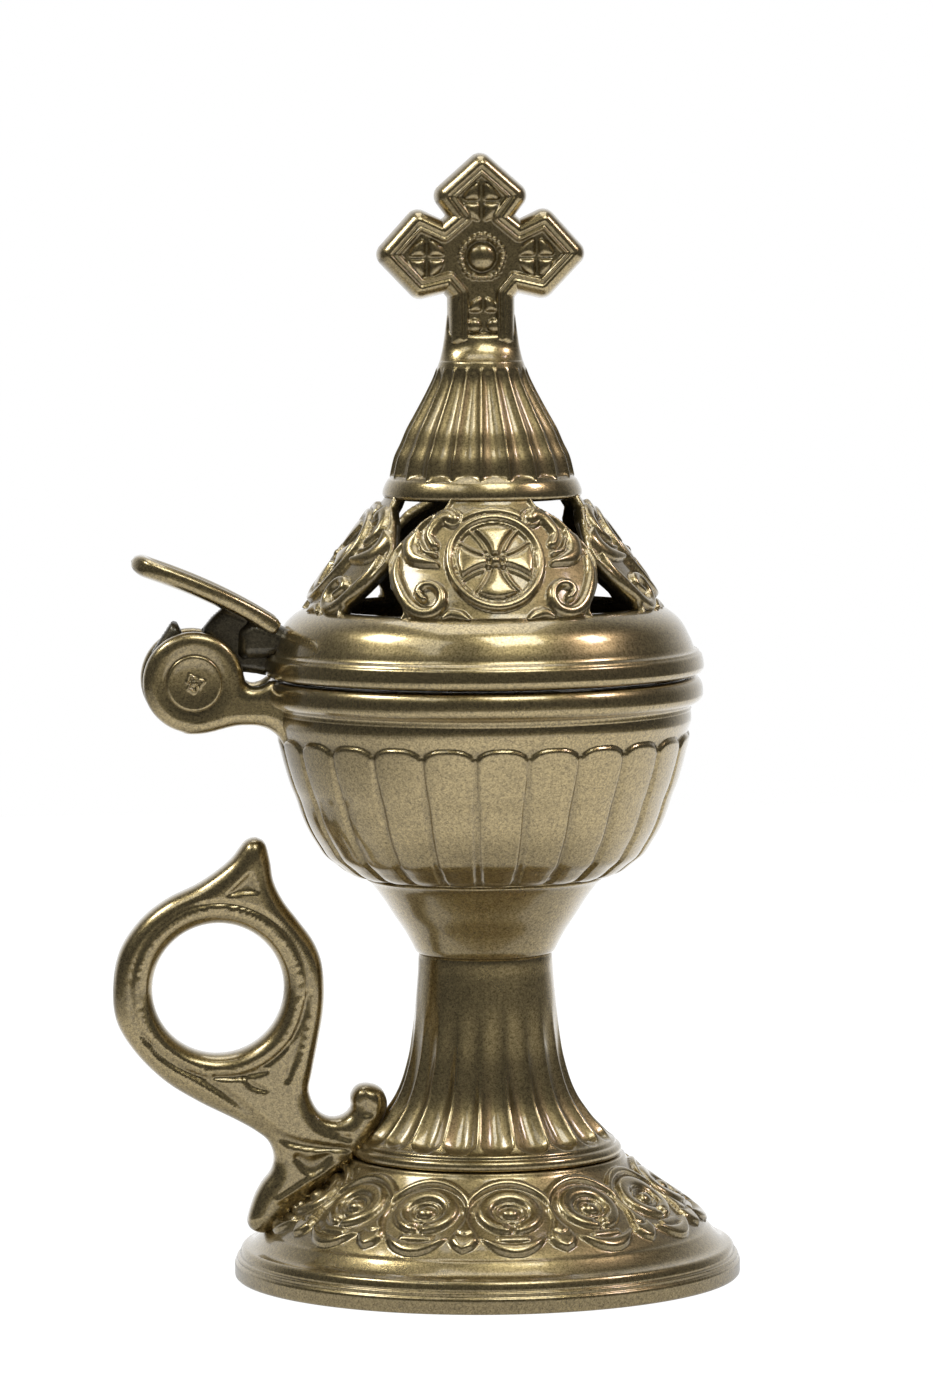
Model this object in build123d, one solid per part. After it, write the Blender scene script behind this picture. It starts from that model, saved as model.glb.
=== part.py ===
from build123d import *
import math
import os

os.makedirs("parts", exist_ok=True)

# ---------------------------------------------------------------------------
# Hand censer.  Millimetres.  The vessel's axis is Z, the floor is z = 0, the
# hinge, the thumb lever and the finger ring are on the -X side.
# ---------------------------------------------------------------------------

# Fits
seat_gap = 0.05            # between pieces of one body that seat in each other
running_gap = 0.05         # radial clearance of the hinge pin in the knuckle
side_gap = 0.2             # each side of the knuckle between the lugs

# Foot
foot_radius = 38.3
foot_height = 18.2         # floor to the stem's seat
foot_rim_height = 2.3
foot_wall = 2.4
foot_seat_radius = 20.6
ridge_radius = 0.42        # the two fine ridges above the rim
cove_depth = 1.5
cove_width = 2.1
foot_turn_share = 0.33     # of the way out from the seat to the rim, where the foot turns up to the stem
foot_turn_drop = 4.9

# Stem
stem_height = 30.7         # foot seat to the joint with the bowl's collar
stem_wall = 2.4
stem_bead_radius = 20.4
stem_bead_height = 2.0
stem_foot_radius = 19.3
stem_waist_radius = 10.1
stem_flutes = 20
stem_flute_radius = 2.5
stem_flute_depth = 1.15

# Bowl
collar_height = 11.3       # joint with the stem up to the sharp ridge
collar_radius = 10.3
ridge_line_radius = 17.9
bowl_height = 30.6         # ridge up to the rim face
bowl_radius = 31.1
bowl_wall = 2.2
bowl_floor = 4.6           # thickness above the ridge
flange_overhang = 2.0      # rolled rim beyond the bowl's side
flange_height = 4.9
flange_lip = 0.35          # step under the rolled rim
flange_lip_height = 0.5
flange_crown = 1.9         # widest line of the rolled rim below its face
rim_face_overhang = 0.8
gadroons = 24
gadroon_top = 8.9          # arch tops below the rim face
groove_width = 1.1
groove_depth = 0.7

# Lid
lid_gap = 0.3              # between the bowl's and the lid's rim faces
lid_flange_height = 4.0
lid_dome_height = 6.2
lid_band_height = 16.9     # pierced band, from the dome to the bead ring
lid_bead_height = 2.6
lid_cone_height = 18.0
lid_wall = 1.7
band_foot_inset = 4.1      # foot of the pierced band inside the bowl's side
band_head_radius = 15.2
bead_ring_radius = 14.9
cone_foot_radius = 13.8
cone_head_radius = 6.3
cone_flutes = 20
cone_flute_depth = 0.7
cone_flute_turn = 3.4      # degrees the flutes are cast off the front
cone_flute_lead = 2.2      # the flutes' round feet above the bead ring
cone_flute_tail = 3.6      # and their heads below the neck
flute_share = 0.86         # of the pitch that a flute's cutter is wide
lid_lip_height = 1.5
lid_lip_wall = 1.3
lip_gap = 0.5
panels = 4
window_head_half = 5.5     # half-width of an upper window under the bead ring
window_foot_half = 6.1     # half-width of a lower window on the dome
window_bridge = 1.6        # metal between an upper and a lower window
window_tip_half = 0.3

# Fire cup
cup_wall = 0.8
cup_depth = 19.0
cup_foot_inset = 11.1      # foot of the cup inside the bowl's side
cup_swell = 5.6
cup_knee = 6.0             # height of the cup's lower curve
cup_rebate = 1.2           # width of the rebate in the bowl's rim that carries it

# Hinge
hinge_offset = 12.8        # bowl's side to the pin axis
hinge_rise = 0.0           # pin axis above the bowl's rim face
lug_radius = 7.6
lug_width = 3.6
arm_reach = 6.4            # pin axis to where the arm's underside turns down the bowl
arm_drop = 1.0             # arm's top below the pin axis
arm_depth = 7.0            # how far below the lugs it runs into the bowl's side
knuckle_width = 4.4
knuckle_radius = 5.6
knuckle_clearance = 0.5
pin_radius = 2.0
pin_head_radius = 4.2
pin_head_height = 0.7
pin_punch_radius = 0.9
pin_tail_height = 0.7      # peened over the collar
pin_tail_spread = 0.7
pin_collar_height = 1.0
pin_collar_wall = 1.8
spur_radius = 9.9
spur_angle = 107.0         # degrees round the pin from +X towards +Z, lid shut
spur_root_angle = 136.0
open_angle = 100.0         # lid travel to the stop
stop_margin = 2.0          # degrees left between the spur and the stop lip

# Thumb lever
lever_thickness = 2.8
lever_width = 11.0
lever_pad_width = 8.0
lever_pad_offset = 5.3     # bowl's side to the back of the pad that seats on the lid
lever_pad_drop = 3.4       # pad's underside below the top of the lugs
lever_root_offset = -0.7   # bowl's side to the end of the tongue's middle line
lever_root_height = 7.2
lever_screw_rise = 1.6     # screws above the foot of the dome
lever_boss_inset = 0.6
lever_tip = (8.6, 18.0)    # end of the tongue's middle line, behind and above the pin
lever_screw_radius = 0.9
lever_screw_pitch = 4.4
lever_screw_length = 7.0
lever_screw_head_radius = 1.6

# Cross
cross_centre = 15.2        # above the cone's head
arm_length = 15.95
arm_shoulder = 9.6
arm_half_width = 6.9
arm_round = 0.8
crotch = 5.2
cross_thickness = 6.8
cross_draft = 10.0
border = 1.3
sink = 0.6
shank_half_width = 5.2
shank_radius = 6.0
shank_neck_height = 6.5
spigot_radius = 2.8
spigot_length = 7.0
roundel_radius = 2.6
roundel_reach = 8.4        # cross's centre to the arms' roundels
roundel_drop = 7.5         # and down to the shank's
roundel_inset = 0.15       # faces of the roundels below the border
boss_radius = 1.9
boss_ring = 1.3
boss_rise = 0.2

# Ring handle
ring_reach = 40.5          # vessel axis to the ring's centre
ring_height = 44.2
finger_radius = 9.9
ring_radius = 16.0
handle_thickness = 7.2
handle_round = 1.5
horn_round = 1.8
knob_radius = 2.5
knob_reach = 18.5
knob_height = 25.5

# Fasteners
bolt_radius = 2.0
bolt_clearance = 0.2
bolt_head_radius = 4.5
bolt_head_height = 2.4
nut_across_flats = 7.0
nut_height = 3.2
washer_radius = 6.0
washer_height = 1.0
thread_tail = 1.6
screw_radius = 1.25
screw_head_radius = 2.4
screw_head_height = 1.4
screw_insets = (13.8, 7.8) # handle screws inside the foot's rim
screw_bite = 5.0
screw_boss_radius = 3.2
screw_seat_rise = 3.7      # foot's rim up to the handle screws' heads
screw_hole_rise = 0.3      # their holes end above the stem's seat
finial_roof = 2.4          # metal over the cross's spigot

# Radii that follow the bowl's side
flange_radius = bowl_radius + flange_overhang
rim_face_radius = bowl_radius + rim_face_overhang
band_foot_radius = bowl_radius - band_foot_inset
cup_foot_radius = bowl_radius - cup_foot_inset
hinge_reach = bowl_radius + hinge_offset
lid_lip_radius = bowl_radius - bowl_wall + cup_rebate - lip_gap
lever_boss_face = lid_lip_radius - lid_lip_wall - lever_boss_inset
lever_pad_reach = bowl_radius + lever_pad_offset
lever_root_reach = bowl_radius + lever_root_offset
hinge_width = 2 * lug_width + knuckle_width + 2 * side_gap
screw_reaches = [foot_radius - inset for inset in screw_insets]

# Levels that follow from the heights
stem_z = foot_height
bowl_z = stem_z + stem_height
ridge_z = bowl_z + collar_height
rim_z = ridge_z + bowl_height
lid_z = rim_z + lid_gap
dome_z = lid_z + lid_flange_height
band_z = dome_z + lid_dome_height
bead_z = band_z + lid_band_height
cone_z = bead_z + lid_bead_height
neck_z = cone_z + lid_cone_height
cross_z = neck_z + cross_centre
hinge_z = rim_z + hinge_rise
lever_screw_z = dome_z + lever_screw_rise
screw_seat_z = foot_rim_height + screw_seat_rise    # where the handle screws' heads bear
screw_top_z = foot_height + screw_hole_rise
finial_roof_z = neck_z - spigot_length - finial_roof


def turned(*edges):
    """Solid of revolution about Z from edges drawn as (radius, height)."""
    return revolve(Plane.XZ * make_face(Curve() + list(edges)), Axis.Z)


def ring_of(shape, count, phase=0.0):
    """Copies of a shape evenly spaced about Z."""
    return [Rot(0, 0, phase + 360 / count * i) * shape for i in range(count)]


def across(radius, height, at, up=False):
    """Cylinder along Y, or along Z, centred on a point."""
    turn = Rot(0, 0, 0) if up else Rot(90, 0, 0)
    return Pos(*at) * turn * Cylinder(radius, height)


# ---------------------------------------------------------------------------
# Foot
# ---------------------------------------------------------------------------
def foot_outline():
    """Edges of the foot's outside, from the floor up to the stem's seat."""
    rim_top = foot_rim_height
    ridge_2 = foot_radius - ridge_radius
    first = (ridge_2, rim_top + 2 * ridge_radius)
    second = (ridge_2 - ridge_radius, rim_top + 4 * ridge_radius)
    cove_end = (second[0] - cove_width, second[1] + cove_width)
    cove_mid = (second[0] - cove_depth, second[1] + 0.6)
    seat = (foot_seat_radius, foot_height)
    turn = (foot_seat_radius + foot_turn_share * (foot_radius - foot_seat_radius), foot_height - foot_turn_drop)
    return [
        Line((foot_radius, 0), (foot_radius, rim_top)),
        ThreePointArc((foot_radius, rim_top), (foot_radius - 0.05, rim_top + ridge_radius), first),
        ThreePointArc(first, (first[0] - 0.05, first[1] + ridge_radius), second),
        ThreePointArc(second, cove_mid, cove_end),
        Spline(cove_end, (cove_end[0] - 4.0, cove_end[1] + 3.9), turn, seat, tangents=((-0.5, 1), (-0.6, 1))),
    ], cove_end, turn, seat


def foot_envelope():
    """The foot as a full solid, used to seat the handle on it."""
    edges, _, _, seat = foot_outline()
    top, low = (0, seat[1]), (0, 0)
    return turned(*edges, Line(seat, top), Line(top, low), Line(low, (foot_radius, 0)))


def make_foot():
    _, cove_end, turn, _ = foot_outline()
    roof = foot_height - foot_wall
    inner_foot = foot_radius - foot_wall
    inner_knee = (cove_end[0] - foot_wall, cove_end[1])
    inner_turn = (turn[0] - 0.6 * foot_wall, turn[1] - 0.8 * foot_wall)
    inner_top = (foot_seat_radius - foot_wall, roof)
    hollow = turned(
        Line((0, 0), (inner_foot, 0)), Line((inner_foot, 0), inner_knee),
        Spline(inner_knee, (inner_knee[0] - 4.0, inner_knee[1] + 3.6), inner_turn, inner_top),
        Line(inner_top, (0, roof)), Line((0, roof), (0, 0)),
    )
    body = foot_envelope() - hollow
    bosses = []
    for reach in screw_reaches:
        top = foot_height
        boss = across(screw_boss_radius, top - screw_seat_z, (-reach, 0, (top + screw_seat_z) / 2), up=True)
        bosses.append(boss & foot_envelope())
    body = body + bosses
    holes = [across(screw_radius + seat_gap, foot_height, (-reach, 0, foot_height / 2), up=True)
             for reach in screw_reaches]
    holes.append(across(bolt_radius + bolt_clearance, foot_height, (0, 0, foot_height), up=True))
    return body - holes


# ---------------------------------------------------------------------------
# Stem
# ---------------------------------------------------------------------------
def stem_side():
    """Points of the trumpet, foot to waist, as (radius, height above the foot)."""
    drop = stem_foot_radius - stem_waist_radius
    base = stem_bead_height + 0.2
    rise = stem_height - base
    shares = [(1.0, 0.0), (0.59, 0.14), (0.31, 0.31), (0.13, 0.54), (0.04, 0.78), (0.0, 1.0)]
    return [(stem_waist_radius + drop * a, base + rise * b) for a, b in shares]


def stem_envelope():
    side = stem_side()
    bead = stem_bead_height
    return Pos(0, 0, stem_z) * turned(
        Line((0, 0), (stem_bead_radius - 0.4, 0)),
        ThreePointArc((stem_bead_radius - 0.4, 0), (stem_bead_radius, bead * 0.45),
                      (stem_bead_radius - 0.5, bead * 0.9)),
        Line((stem_bead_radius - 0.5, bead * 0.9), side[0]),
        Spline(*side), Line(side[-1], (0, stem_height)), Line((0, stem_height), (0, 0)),
    )


def make_stem():
    side = stem_side()
    body = stem_envelope()
    # Flutes: a round cutter carried up the trumpet, leaving it as it climbs.
    off = stem_flute_radius - stem_flute_depth
    start, low, mid, high = side[0], side[1], side[2], side[3]
    path = Spline((start[0] + off * 0.70, start[1] + off * 0.70 + 0.2), (low[0] + off * 0.80, low[1] + off * 0.55),
                  (mid[0] + off + 0.35, mid[1] + 0.4), (high[0] + off + 1.2, high[1] + 1.0))
    path = Plane.XZ * path
    cutter = sweep(Plane(path @ 0, z_dir=path % 0) * Circle(stem_flute_radius), path=path)
    cutter = cutter + Pos(*(path @ 0)) * Sphere(stem_flute_radius)
    flutes = ring_of(Pos(0, 0, stem_z) * cutter, stem_flutes, -90)
    body = body - flutes
    top = stem_height - 6.0
    hollow = Pos(0, 0, stem_z) * turned(
        Line((0, 0), (stem_foot_radius - 2 * stem_wall, 0)),
        Spline((stem_foot_radius - 2 * stem_wall, 0), (side[1][0] - stem_wall - 0.7, side[1][1]),
               (side[3][0] - stem_wall, side[3][1]), (stem_waist_radius - stem_wall, top)),
        Line((stem_waist_radius - stem_wall, top), (0, top)), Line((0, top), (0, 0)),
    )
    bore = across(bolt_radius + bolt_clearance, 3 * stem_height, (0, 0, stem_z), up=True)
    return body - hollow - bore


# ---------------------------------------------------------------------------
# Bowl
# ---------------------------------------------------------------------------
def bowl_side(inset=0.0):
    """Points of the bowl's outside, ridge to flange, as (radius, height above the ridge)."""
    span = bowl_height - flange_height
    swell = bowl_radius - ridge_line_radius
    shares = [(0.0, 0.0), (0.36, 0.115), (0.56, 0.225), (0.78, 0.47), (0.93, 0.75), (1.0, 1.0)]
    return [(ridge_line_radius + swell * a - inset, span * b) for a, b in shares]


def bowl_envelope():
    side = bowl_side()
    knee = side[-1]
    top = bowl_height
    lip = (knee[0] + flange_lip, knee[1])
    lip_top = (lip[0], lip[1] + flange_lip_height)
    flange = [
        Line(knee, lip), Line(lip, lip_top),
        Spline(lip_top, (flange_radius, top - flange_crown), (rim_face_radius, top),
               tangents=((0.6, 1), (-0.8, 0.6))),
    ]
    collar = [
        Line((0, -collar_height), (collar_radius, -collar_height)),
        Spline((collar_radius, -collar_height), (collar_radius + 3.1, -collar_height * 0.55), (ridge_line_radius, 0)),
    ]
    return Pos(0, 0, ridge_z) * turned(
        *collar, Spline(*side), *flange,
        Line((rim_face_radius, top), (0, top)), Line((0, top), (0, -collar_height)),
    )


def gadroon_grooves():
    """One groove down the bowl's side with half an arch at each side of its head."""
    side = bowl_side()
    head = bowl_height - gadroon_top
    pitch = 2 * math.pi * bowl_radius / gadroons
    arch = pitch / 2
    low = [(r - groove_depth, z) for r, z in side if z < head - arch]
    outer = Spline(*low, (bowl_radius - groove_depth - 0.4, head - arch))
    tip, tail = outer @ 1, outer @ 0
    face = Plane.XZ * make_face([outer, Line(tip, (tip.X + 4, tip.Y)), Line((tip.X + 4, tip.Y), (tip.X + 4, tail.Y)),
                                 Line((tip.X + 4, tail.Y), tail)])
    slot = extrude(face, groove_width / 2, both=True)
    ring = Circle(arch + groove_width / 4) - Circle(arch - groove_width * 0.45)
    half = ring & Pos(0, arch) * Rectangle(4 * arch, 2 * arch)
    plane = Plane(origin=(bowl_radius - groove_depth - 0.15, 0, head - arch), x_dir=(0, 1, 0), z_dir=(1, 0, 0))
    bow = Rot(0, 0, 180 / gadroons) * extrude(plane * half, 4)
    return Pos(0, 0, ridge_z) * slot, Pos(0, 0, ridge_z) * bow


def bowl_inside():
    side = bowl_side(bowl_wall + groove_depth * 0.5)
    floor = bowl_floor
    mouth = bowl_radius - bowl_wall
    curve = Spline((side[1][0] - 4.0, floor), (side[2][0], side[2][1] + 2.0), side[3], side[4], (mouth, side[5][1]))
    return Pos(0, 0, ridge_z) * turned(
        Line((0, floor), curve @ 0), curve, Line(curve @ 1, (mouth, bowl_height)),
        Line((mouth, bowl_height), (0, bowl_height)), Line((0, bowl_height), (0, floor)),
    )


def hinge_arm():
    """Solid arm from the bowl's flange to the pin, in side view, as wide as both lugs."""
    disc = Circle(lug_radius)
    root = hinge_reach - bowl_radius + 5
    neck = make_face([
        Line((0, -lug_radius), (arm_reach, -lug_radius)),
        ThreePointArc((arm_reach, -lug_radius), (arm_reach + 3.6, -lug_radius - 2.0),
                      (arm_reach + 6.0, -lug_radius - arm_depth)),
        Line((arm_reach + 6.0, -lug_radius - arm_depth), (root, -lug_radius - arm_depth)),
        Line((root, -lug_radius - arm_depth), (root, -arm_drop)), Line((root, -arm_drop), (0, -arm_drop)),
        Line((0, -arm_drop), (0, -lug_radius)),
    ])
    plane = Plane(origin=(-hinge_reach, 0, hinge_z), x_dir=(1, 0, 0), z_dir=(0, -1, 0))
    return extrude(plane * (disc + neck), hinge_width / 2, both=True)


def make_bowl():
    slot, bow = gadroon_grooves()
    body = bowl_envelope()
    body = body - ring_of(slot, gadroons, -90 + 180 / gadroons) - ring_of(bow, gadroons, -90 + 180 / gadroons)
    body = body + hinge_arm()
    body = body - bowl_inside()
    # The rebate that carries the fire cup.
    rebate = across(bowl_radius - bowl_wall + cup_rebate, 2 * (cup_wall + lid_lip_height), (0, 0, rim_z), up=True)
    body = body - rebate
    # Slot for the knuckle and the lever's web, open above, behind and round the knuckle.
    gap = knuckle_width + 2 * side_gap
    sweep_r = knuckle_radius + knuckle_clearance
    slot_end = lug_radius + 0.4
    cut = across(sweep_r, gap, (-hinge_reach, 0, hinge_z))
    lip_angle = spur_root_angle + open_angle + stop_margin
    back = Pos(-hinge_reach, 0, hinge_z) * Rot(0, 270 - lip_angle, 0) * Pos(-lug_radius, 0, 0)
    back = back * Box(2 * lug_radius, gap, 4 * lug_radius)
    above = Pos(-hinge_reach + slot_end / 2, 0, hinge_z + lug_radius) * Box(slot_end, gap, 2 * lug_radius)
    pin_hole = across(pin_radius + seat_gap, 4 * lug_radius, (-hinge_reach, 0, hinge_z))
    bolt_hole = across(bolt_radius + bolt_clearance, 2 * collar_height + 2 * bowl_floor, (0, 0, ridge_z), up=True)
    return body - cut - back - above - pin_hole - bolt_hole


# ---------------------------------------------------------------------------
# Fire cup
# ---------------------------------------------------------------------------
def make_cup():
    lip_r = bowl_radius - bowl_wall + cup_rebate - 2 * seat_gap
    wall_r = bowl_radius - bowl_wall - 4 * seat_gap
    top = rim_z - lid_lip_height
    low = top - cup_depth
    t = cup_wall
    return turned(
        Line((lip_r, top), (lip_r, top - t)), Line((lip_r, top - t), (wall_r, top - t)),
        Spline((wall_r, top - t), (cup_foot_radius + cup_swell, low + cup_knee), (cup_foot_radius, low)),
        Line((cup_foot_radius, low), (0, low)), Line((0, low), (0, low + t)),
        Line((0, low + t), (cup_foot_radius - 0.3, low + t)),
        Spline((cup_foot_radius - 0.3, low + t), (cup_foot_radius + cup_swell - t, low + cup_knee + t / 2),
               (wall_r - t, top)),
        Line((wall_r - t, top), (lip_r, top)),
    )


# ---------------------------------------------------------------------------
# Lid
# ---------------------------------------------------------------------------
def lid_outline(inset=0.0):
    """Edges of the lid's outside, or of its inside when inset by the wall, foot to neck."""
    def p(r, z):
        return (r - inset, z)
    dome_edge = rim_face_radius + 0.2
    cone_mid = (cone_foot_radius + cone_head_radius) / 2 + 1.0
    flange = Spline(p(rim_face_radius, lid_z), p(flange_radius, lid_z + 0.55 * lid_flange_height), p(dome_edge, dome_z),
                    tangents=((1, 0.8), (-0.8, 0.4)))
    dome = Spline(p(dome_edge, dome_z), p(dome_edge - 2.7, dome_z + 0.66 * lid_dome_height), p(band_foot_radius, band_z),
                  tangents=((-0.7, 1), (-1, 0.3)))
    band = Spline(p(band_foot_radius, band_z), p(band_foot_radius - 2.7, band_z + 0.29 * lid_band_height),
                  p(band_head_radius + 3.4, band_z + 0.76 * lid_band_height), p(band_head_radius - 0.4, bead_z))
    bead = ThreePointArc(p(band_head_radius - 0.4, bead_z), p(bead_ring_radius + 0.15, bead_z + 0.4 * lid_bead_height),
                         p(cone_foot_radius + 0.1, cone_z))
    cone = Spline(p(cone_foot_radius, cone_z + 0.4), p(cone_mid, cone_z + 0.5 * lid_cone_height),
                  p(cone_head_radius, neck_z))
    step = Line(bead @ 1, cone @ 0)
    return [flange, dome, band, bead, step, cone]


def lid_envelope():
    edges = lid_outline()
    top = edges[-1] @ 1
    return turned(*edges, Line((top.X, top.Y), (0, neck_z)), Line((0, neck_z), (0, lid_z)),
                  Line((0, lid_z), (rim_face_radius, lid_z)))


def windows():
    """Cutters of one corner of the pierced band, on +X: a window above, a window below."""
    head, foot = bead_z - 0.2, band_z + 0.2
    tip = band_z + 0.52 * lid_band_height
    low_tip = tip - window_bridge
    w, f, e = window_head_half, window_foot_half, window_tip_half
    upper = make_face([
        Line((-w, head), (w, head)), ThreePointArc((w, head), (0.38 * w, (head + tip) / 2), (e, tip)),
        Line((e, tip), (-e, tip)), ThreePointArc((-e, tip), (-0.38 * w, (head + tip) / 2), (-w, head)),
    ])
    lower = make_face([
        Line((-f, foot), (f, foot)), ThreePointArc((f, foot), (0.6 * f, (foot + low_tip) / 2), (e, low_tip)),
        Line((e, low_tip), (-e, low_tip)), ThreePointArc((-e, low_tip), (-0.6 * f, (foot + low_tip) / 2), (-f, foot)),
    ])
    plane = Plane(origin=(4, 0, 0), x_dir=(0, 1, 0), z_dir=(1, 0, 0))
    return extrude(plane * (upper + lower), flange_radius)


def lid_inside():
    inner = lid_outline(lid_wall)
    lip_r = lid_lip_radius - lid_lip_wall
    roof = finial_roof_z
    band_end = inner[2] @ 1
    return turned(
        Line((0, lid_z - lid_lip_height), (lip_r, lid_z - lid_lip_height)),
        Line((lip_r, lid_z - lid_lip_height), (lip_r, lid_z + 1.0)),
        Line((lip_r, lid_z + 1.0), (inner[1] @ 0)), inner[1], inner[2],
        Line(band_end, (cone_foot_radius - lid_wall, cone_z)),
        Line((cone_foot_radius - lid_wall, cone_z), (cone_head_radius + 1.8, roof)),
        Line((cone_head_radius + 1.8, roof), (0, roof)), Line((0, roof), (0, lid_z - lid_lip_height)),
    )


def lever_screw_places():
    return [(-lever_boss_face, side * lever_screw_pitch / 2, lever_screw_z) for side in (-1, 1)]


def along_x(radius, length, at):
    """Cylinder from a point towards -X."""
    return Pos(*at) * Rot(0, -90, 0) * Cylinder(radius, length, align=(Align.CENTER, Align.CENTER, Align.MIN))


def cone_flute():
    """Tapered round cutter along the cone's slant on +X, with a round foot."""
    foot = (cone_foot_radius - 0.1, cone_z + cone_flute_lead)
    head = (cone_head_radius + 1.3, neck_z - cone_flute_tail)
    slant = Vector(head[0] - foot[0], 0, head[1] - foot[1])
    foot_r = flute_share * math.pi * foot[0] / cone_flutes
    head_r = flute_share * math.pi * head[0] / cone_flutes
    out = Vector(slant.Z, 0, -slant.X).normalized()
    base = Vector(foot[0], 0, foot[1]) + out * (foot_r - cone_flute_depth)
    plane = Plane(origin=base, z_dir=slant)
    stick = Cone(foot_r, head_r, slant.length, align=(Align.CENTER, Align.CENTER, Align.MIN))
    return plane * stick + Pos(*base) * Sphere(foot_r)


def make_lid():
    lip = across(lid_lip_radius, lid_lip_height + 1, (0, 0, lid_z + (1 - lid_lip_height) / 2), up=True)
    body = lid_envelope() + lip - lid_inside()
    bosses = [along_x(lever_screw_head_radius + 0.5, flange_radius, at) for at in lever_screw_places()]
    body = body + [boss & lid_envelope() for boss in bosses]
    body = body - ring_of(windows(), panels, 180 / panels)
    body = body - ring_of(cone_flute(), cone_flutes, -90 + cone_flute_turn)
    body = body - [along_x(lever_screw_radius + seat_gap, flange_radius, at) for at in lever_screw_places()]
    body = body - across(spigot_radius + seat_gap, 2 * (spigot_length + 0.1), (0, 0, neck_z), up=True)
    return body - across(screw_radius + seat_gap, 2 * spigot_length, (0, 0, neck_z - spigot_length), up=True)


# ---------------------------------------------------------------------------
# Cross
# ---------------------------------------------------------------------------
def cross_face():
    """The cross and its shank in front view, about the cross's centre."""
    foot = -cross_centre
    arm = [(crotch, crotch), (arm_half_width, arm_shoulder), (0, arm_length), (-arm_half_width, arm_shoulder)]
    corners = []
    for turn in (0, 90):
        c, s = math.cos(math.radians(turn)), math.sin(math.radians(turn))
        corners += [(x * c - y * s, x * s + y * c) for x, y in arm]
    right = [(-x, y) for x, y in reversed(corners[4:])]
    waist = -crotch
    shank = [(-shank_half_width, waist), (-shank_half_width, foot), (shank_half_width, foot),
             (shank_half_width, waist)]
    return corners + shank + right[:-1]


def make_cross():
    outline = make_face(Polyline(*cross_face(), close=True))
    tips = [v for v in outline.vertices() if v.Y > -cross_centre + 1]
    outline = fillet(tips, arm_round)
    plane = Plane(origin=(0, 0, cross_z), x_dir=(1, 0, 0), z_dir=(0, -1, 0))
    half = cross_thickness / 2
    draft = half * math.tan(math.radians(cross_draft))
    crown = offset(outline, -draft, kind=Kind.INTERSECTION)
    halves = [loft([outline.face(), (Pos(0, 0, side * half) * crown).face()], ruled=True) for side in (1, -1)]
    body = plane * (halves[0] + halves[1])
    inner = offset(outline, -border - draft, kind=Kind.INTERSECTION)
    floor = half - sink
    for side in (1, -1):
        body = body - plane * Pos(0, 0, side * floor) * extrude(inner, side * sink * 2)
    seats = [(0, roundel_reach), (roundel_reach, 0), (-roundel_reach, 0), (0, -roundel_drop)]
    low_face = 2 * (half - roundel_inset)
    body = body + [plane * Pos(x, y, 0) * Cylinder(roundel_radius, low_face) for x, y in seats]
    body = body + plane * Cylinder(boss_radius + boss_ring, low_face)
    body = body + plane * Cylinder(boss_radius, 2 * (half + boss_rise))
    neck_top = (half - 0.4, neck_z + shank_neck_height)
    neck = turned(
        Line((0, neck_z), (shank_radius, neck_z)),
        Spline((shank_radius, neck_z), (shank_half_width, neck_z + 1.8), neck_top),
        Line(neck_top, (0, neck_top[1])), Line((0, neck_top[1]), (0, neck_z)),
    )
    body = body + neck
    body = body + across(spigot_radius, spigot_length, (0, 0, neck_z - spigot_length / 2), up=True)
    hole = across(screw_radius + seat_gap, 2 * screw_bite, (0, 0, neck_z - spigot_length), up=True)
    return body - hole


# ---------------------------------------------------------------------------
# Thumb lever
# ---------------------------------------------------------------------------
def polar(radius, angle):
    """Point in side view from the pin's axis, X to the bowl and Y up."""
    a = math.radians(angle)
    return (radius * math.cos(a), radius * math.sin(a))


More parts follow.
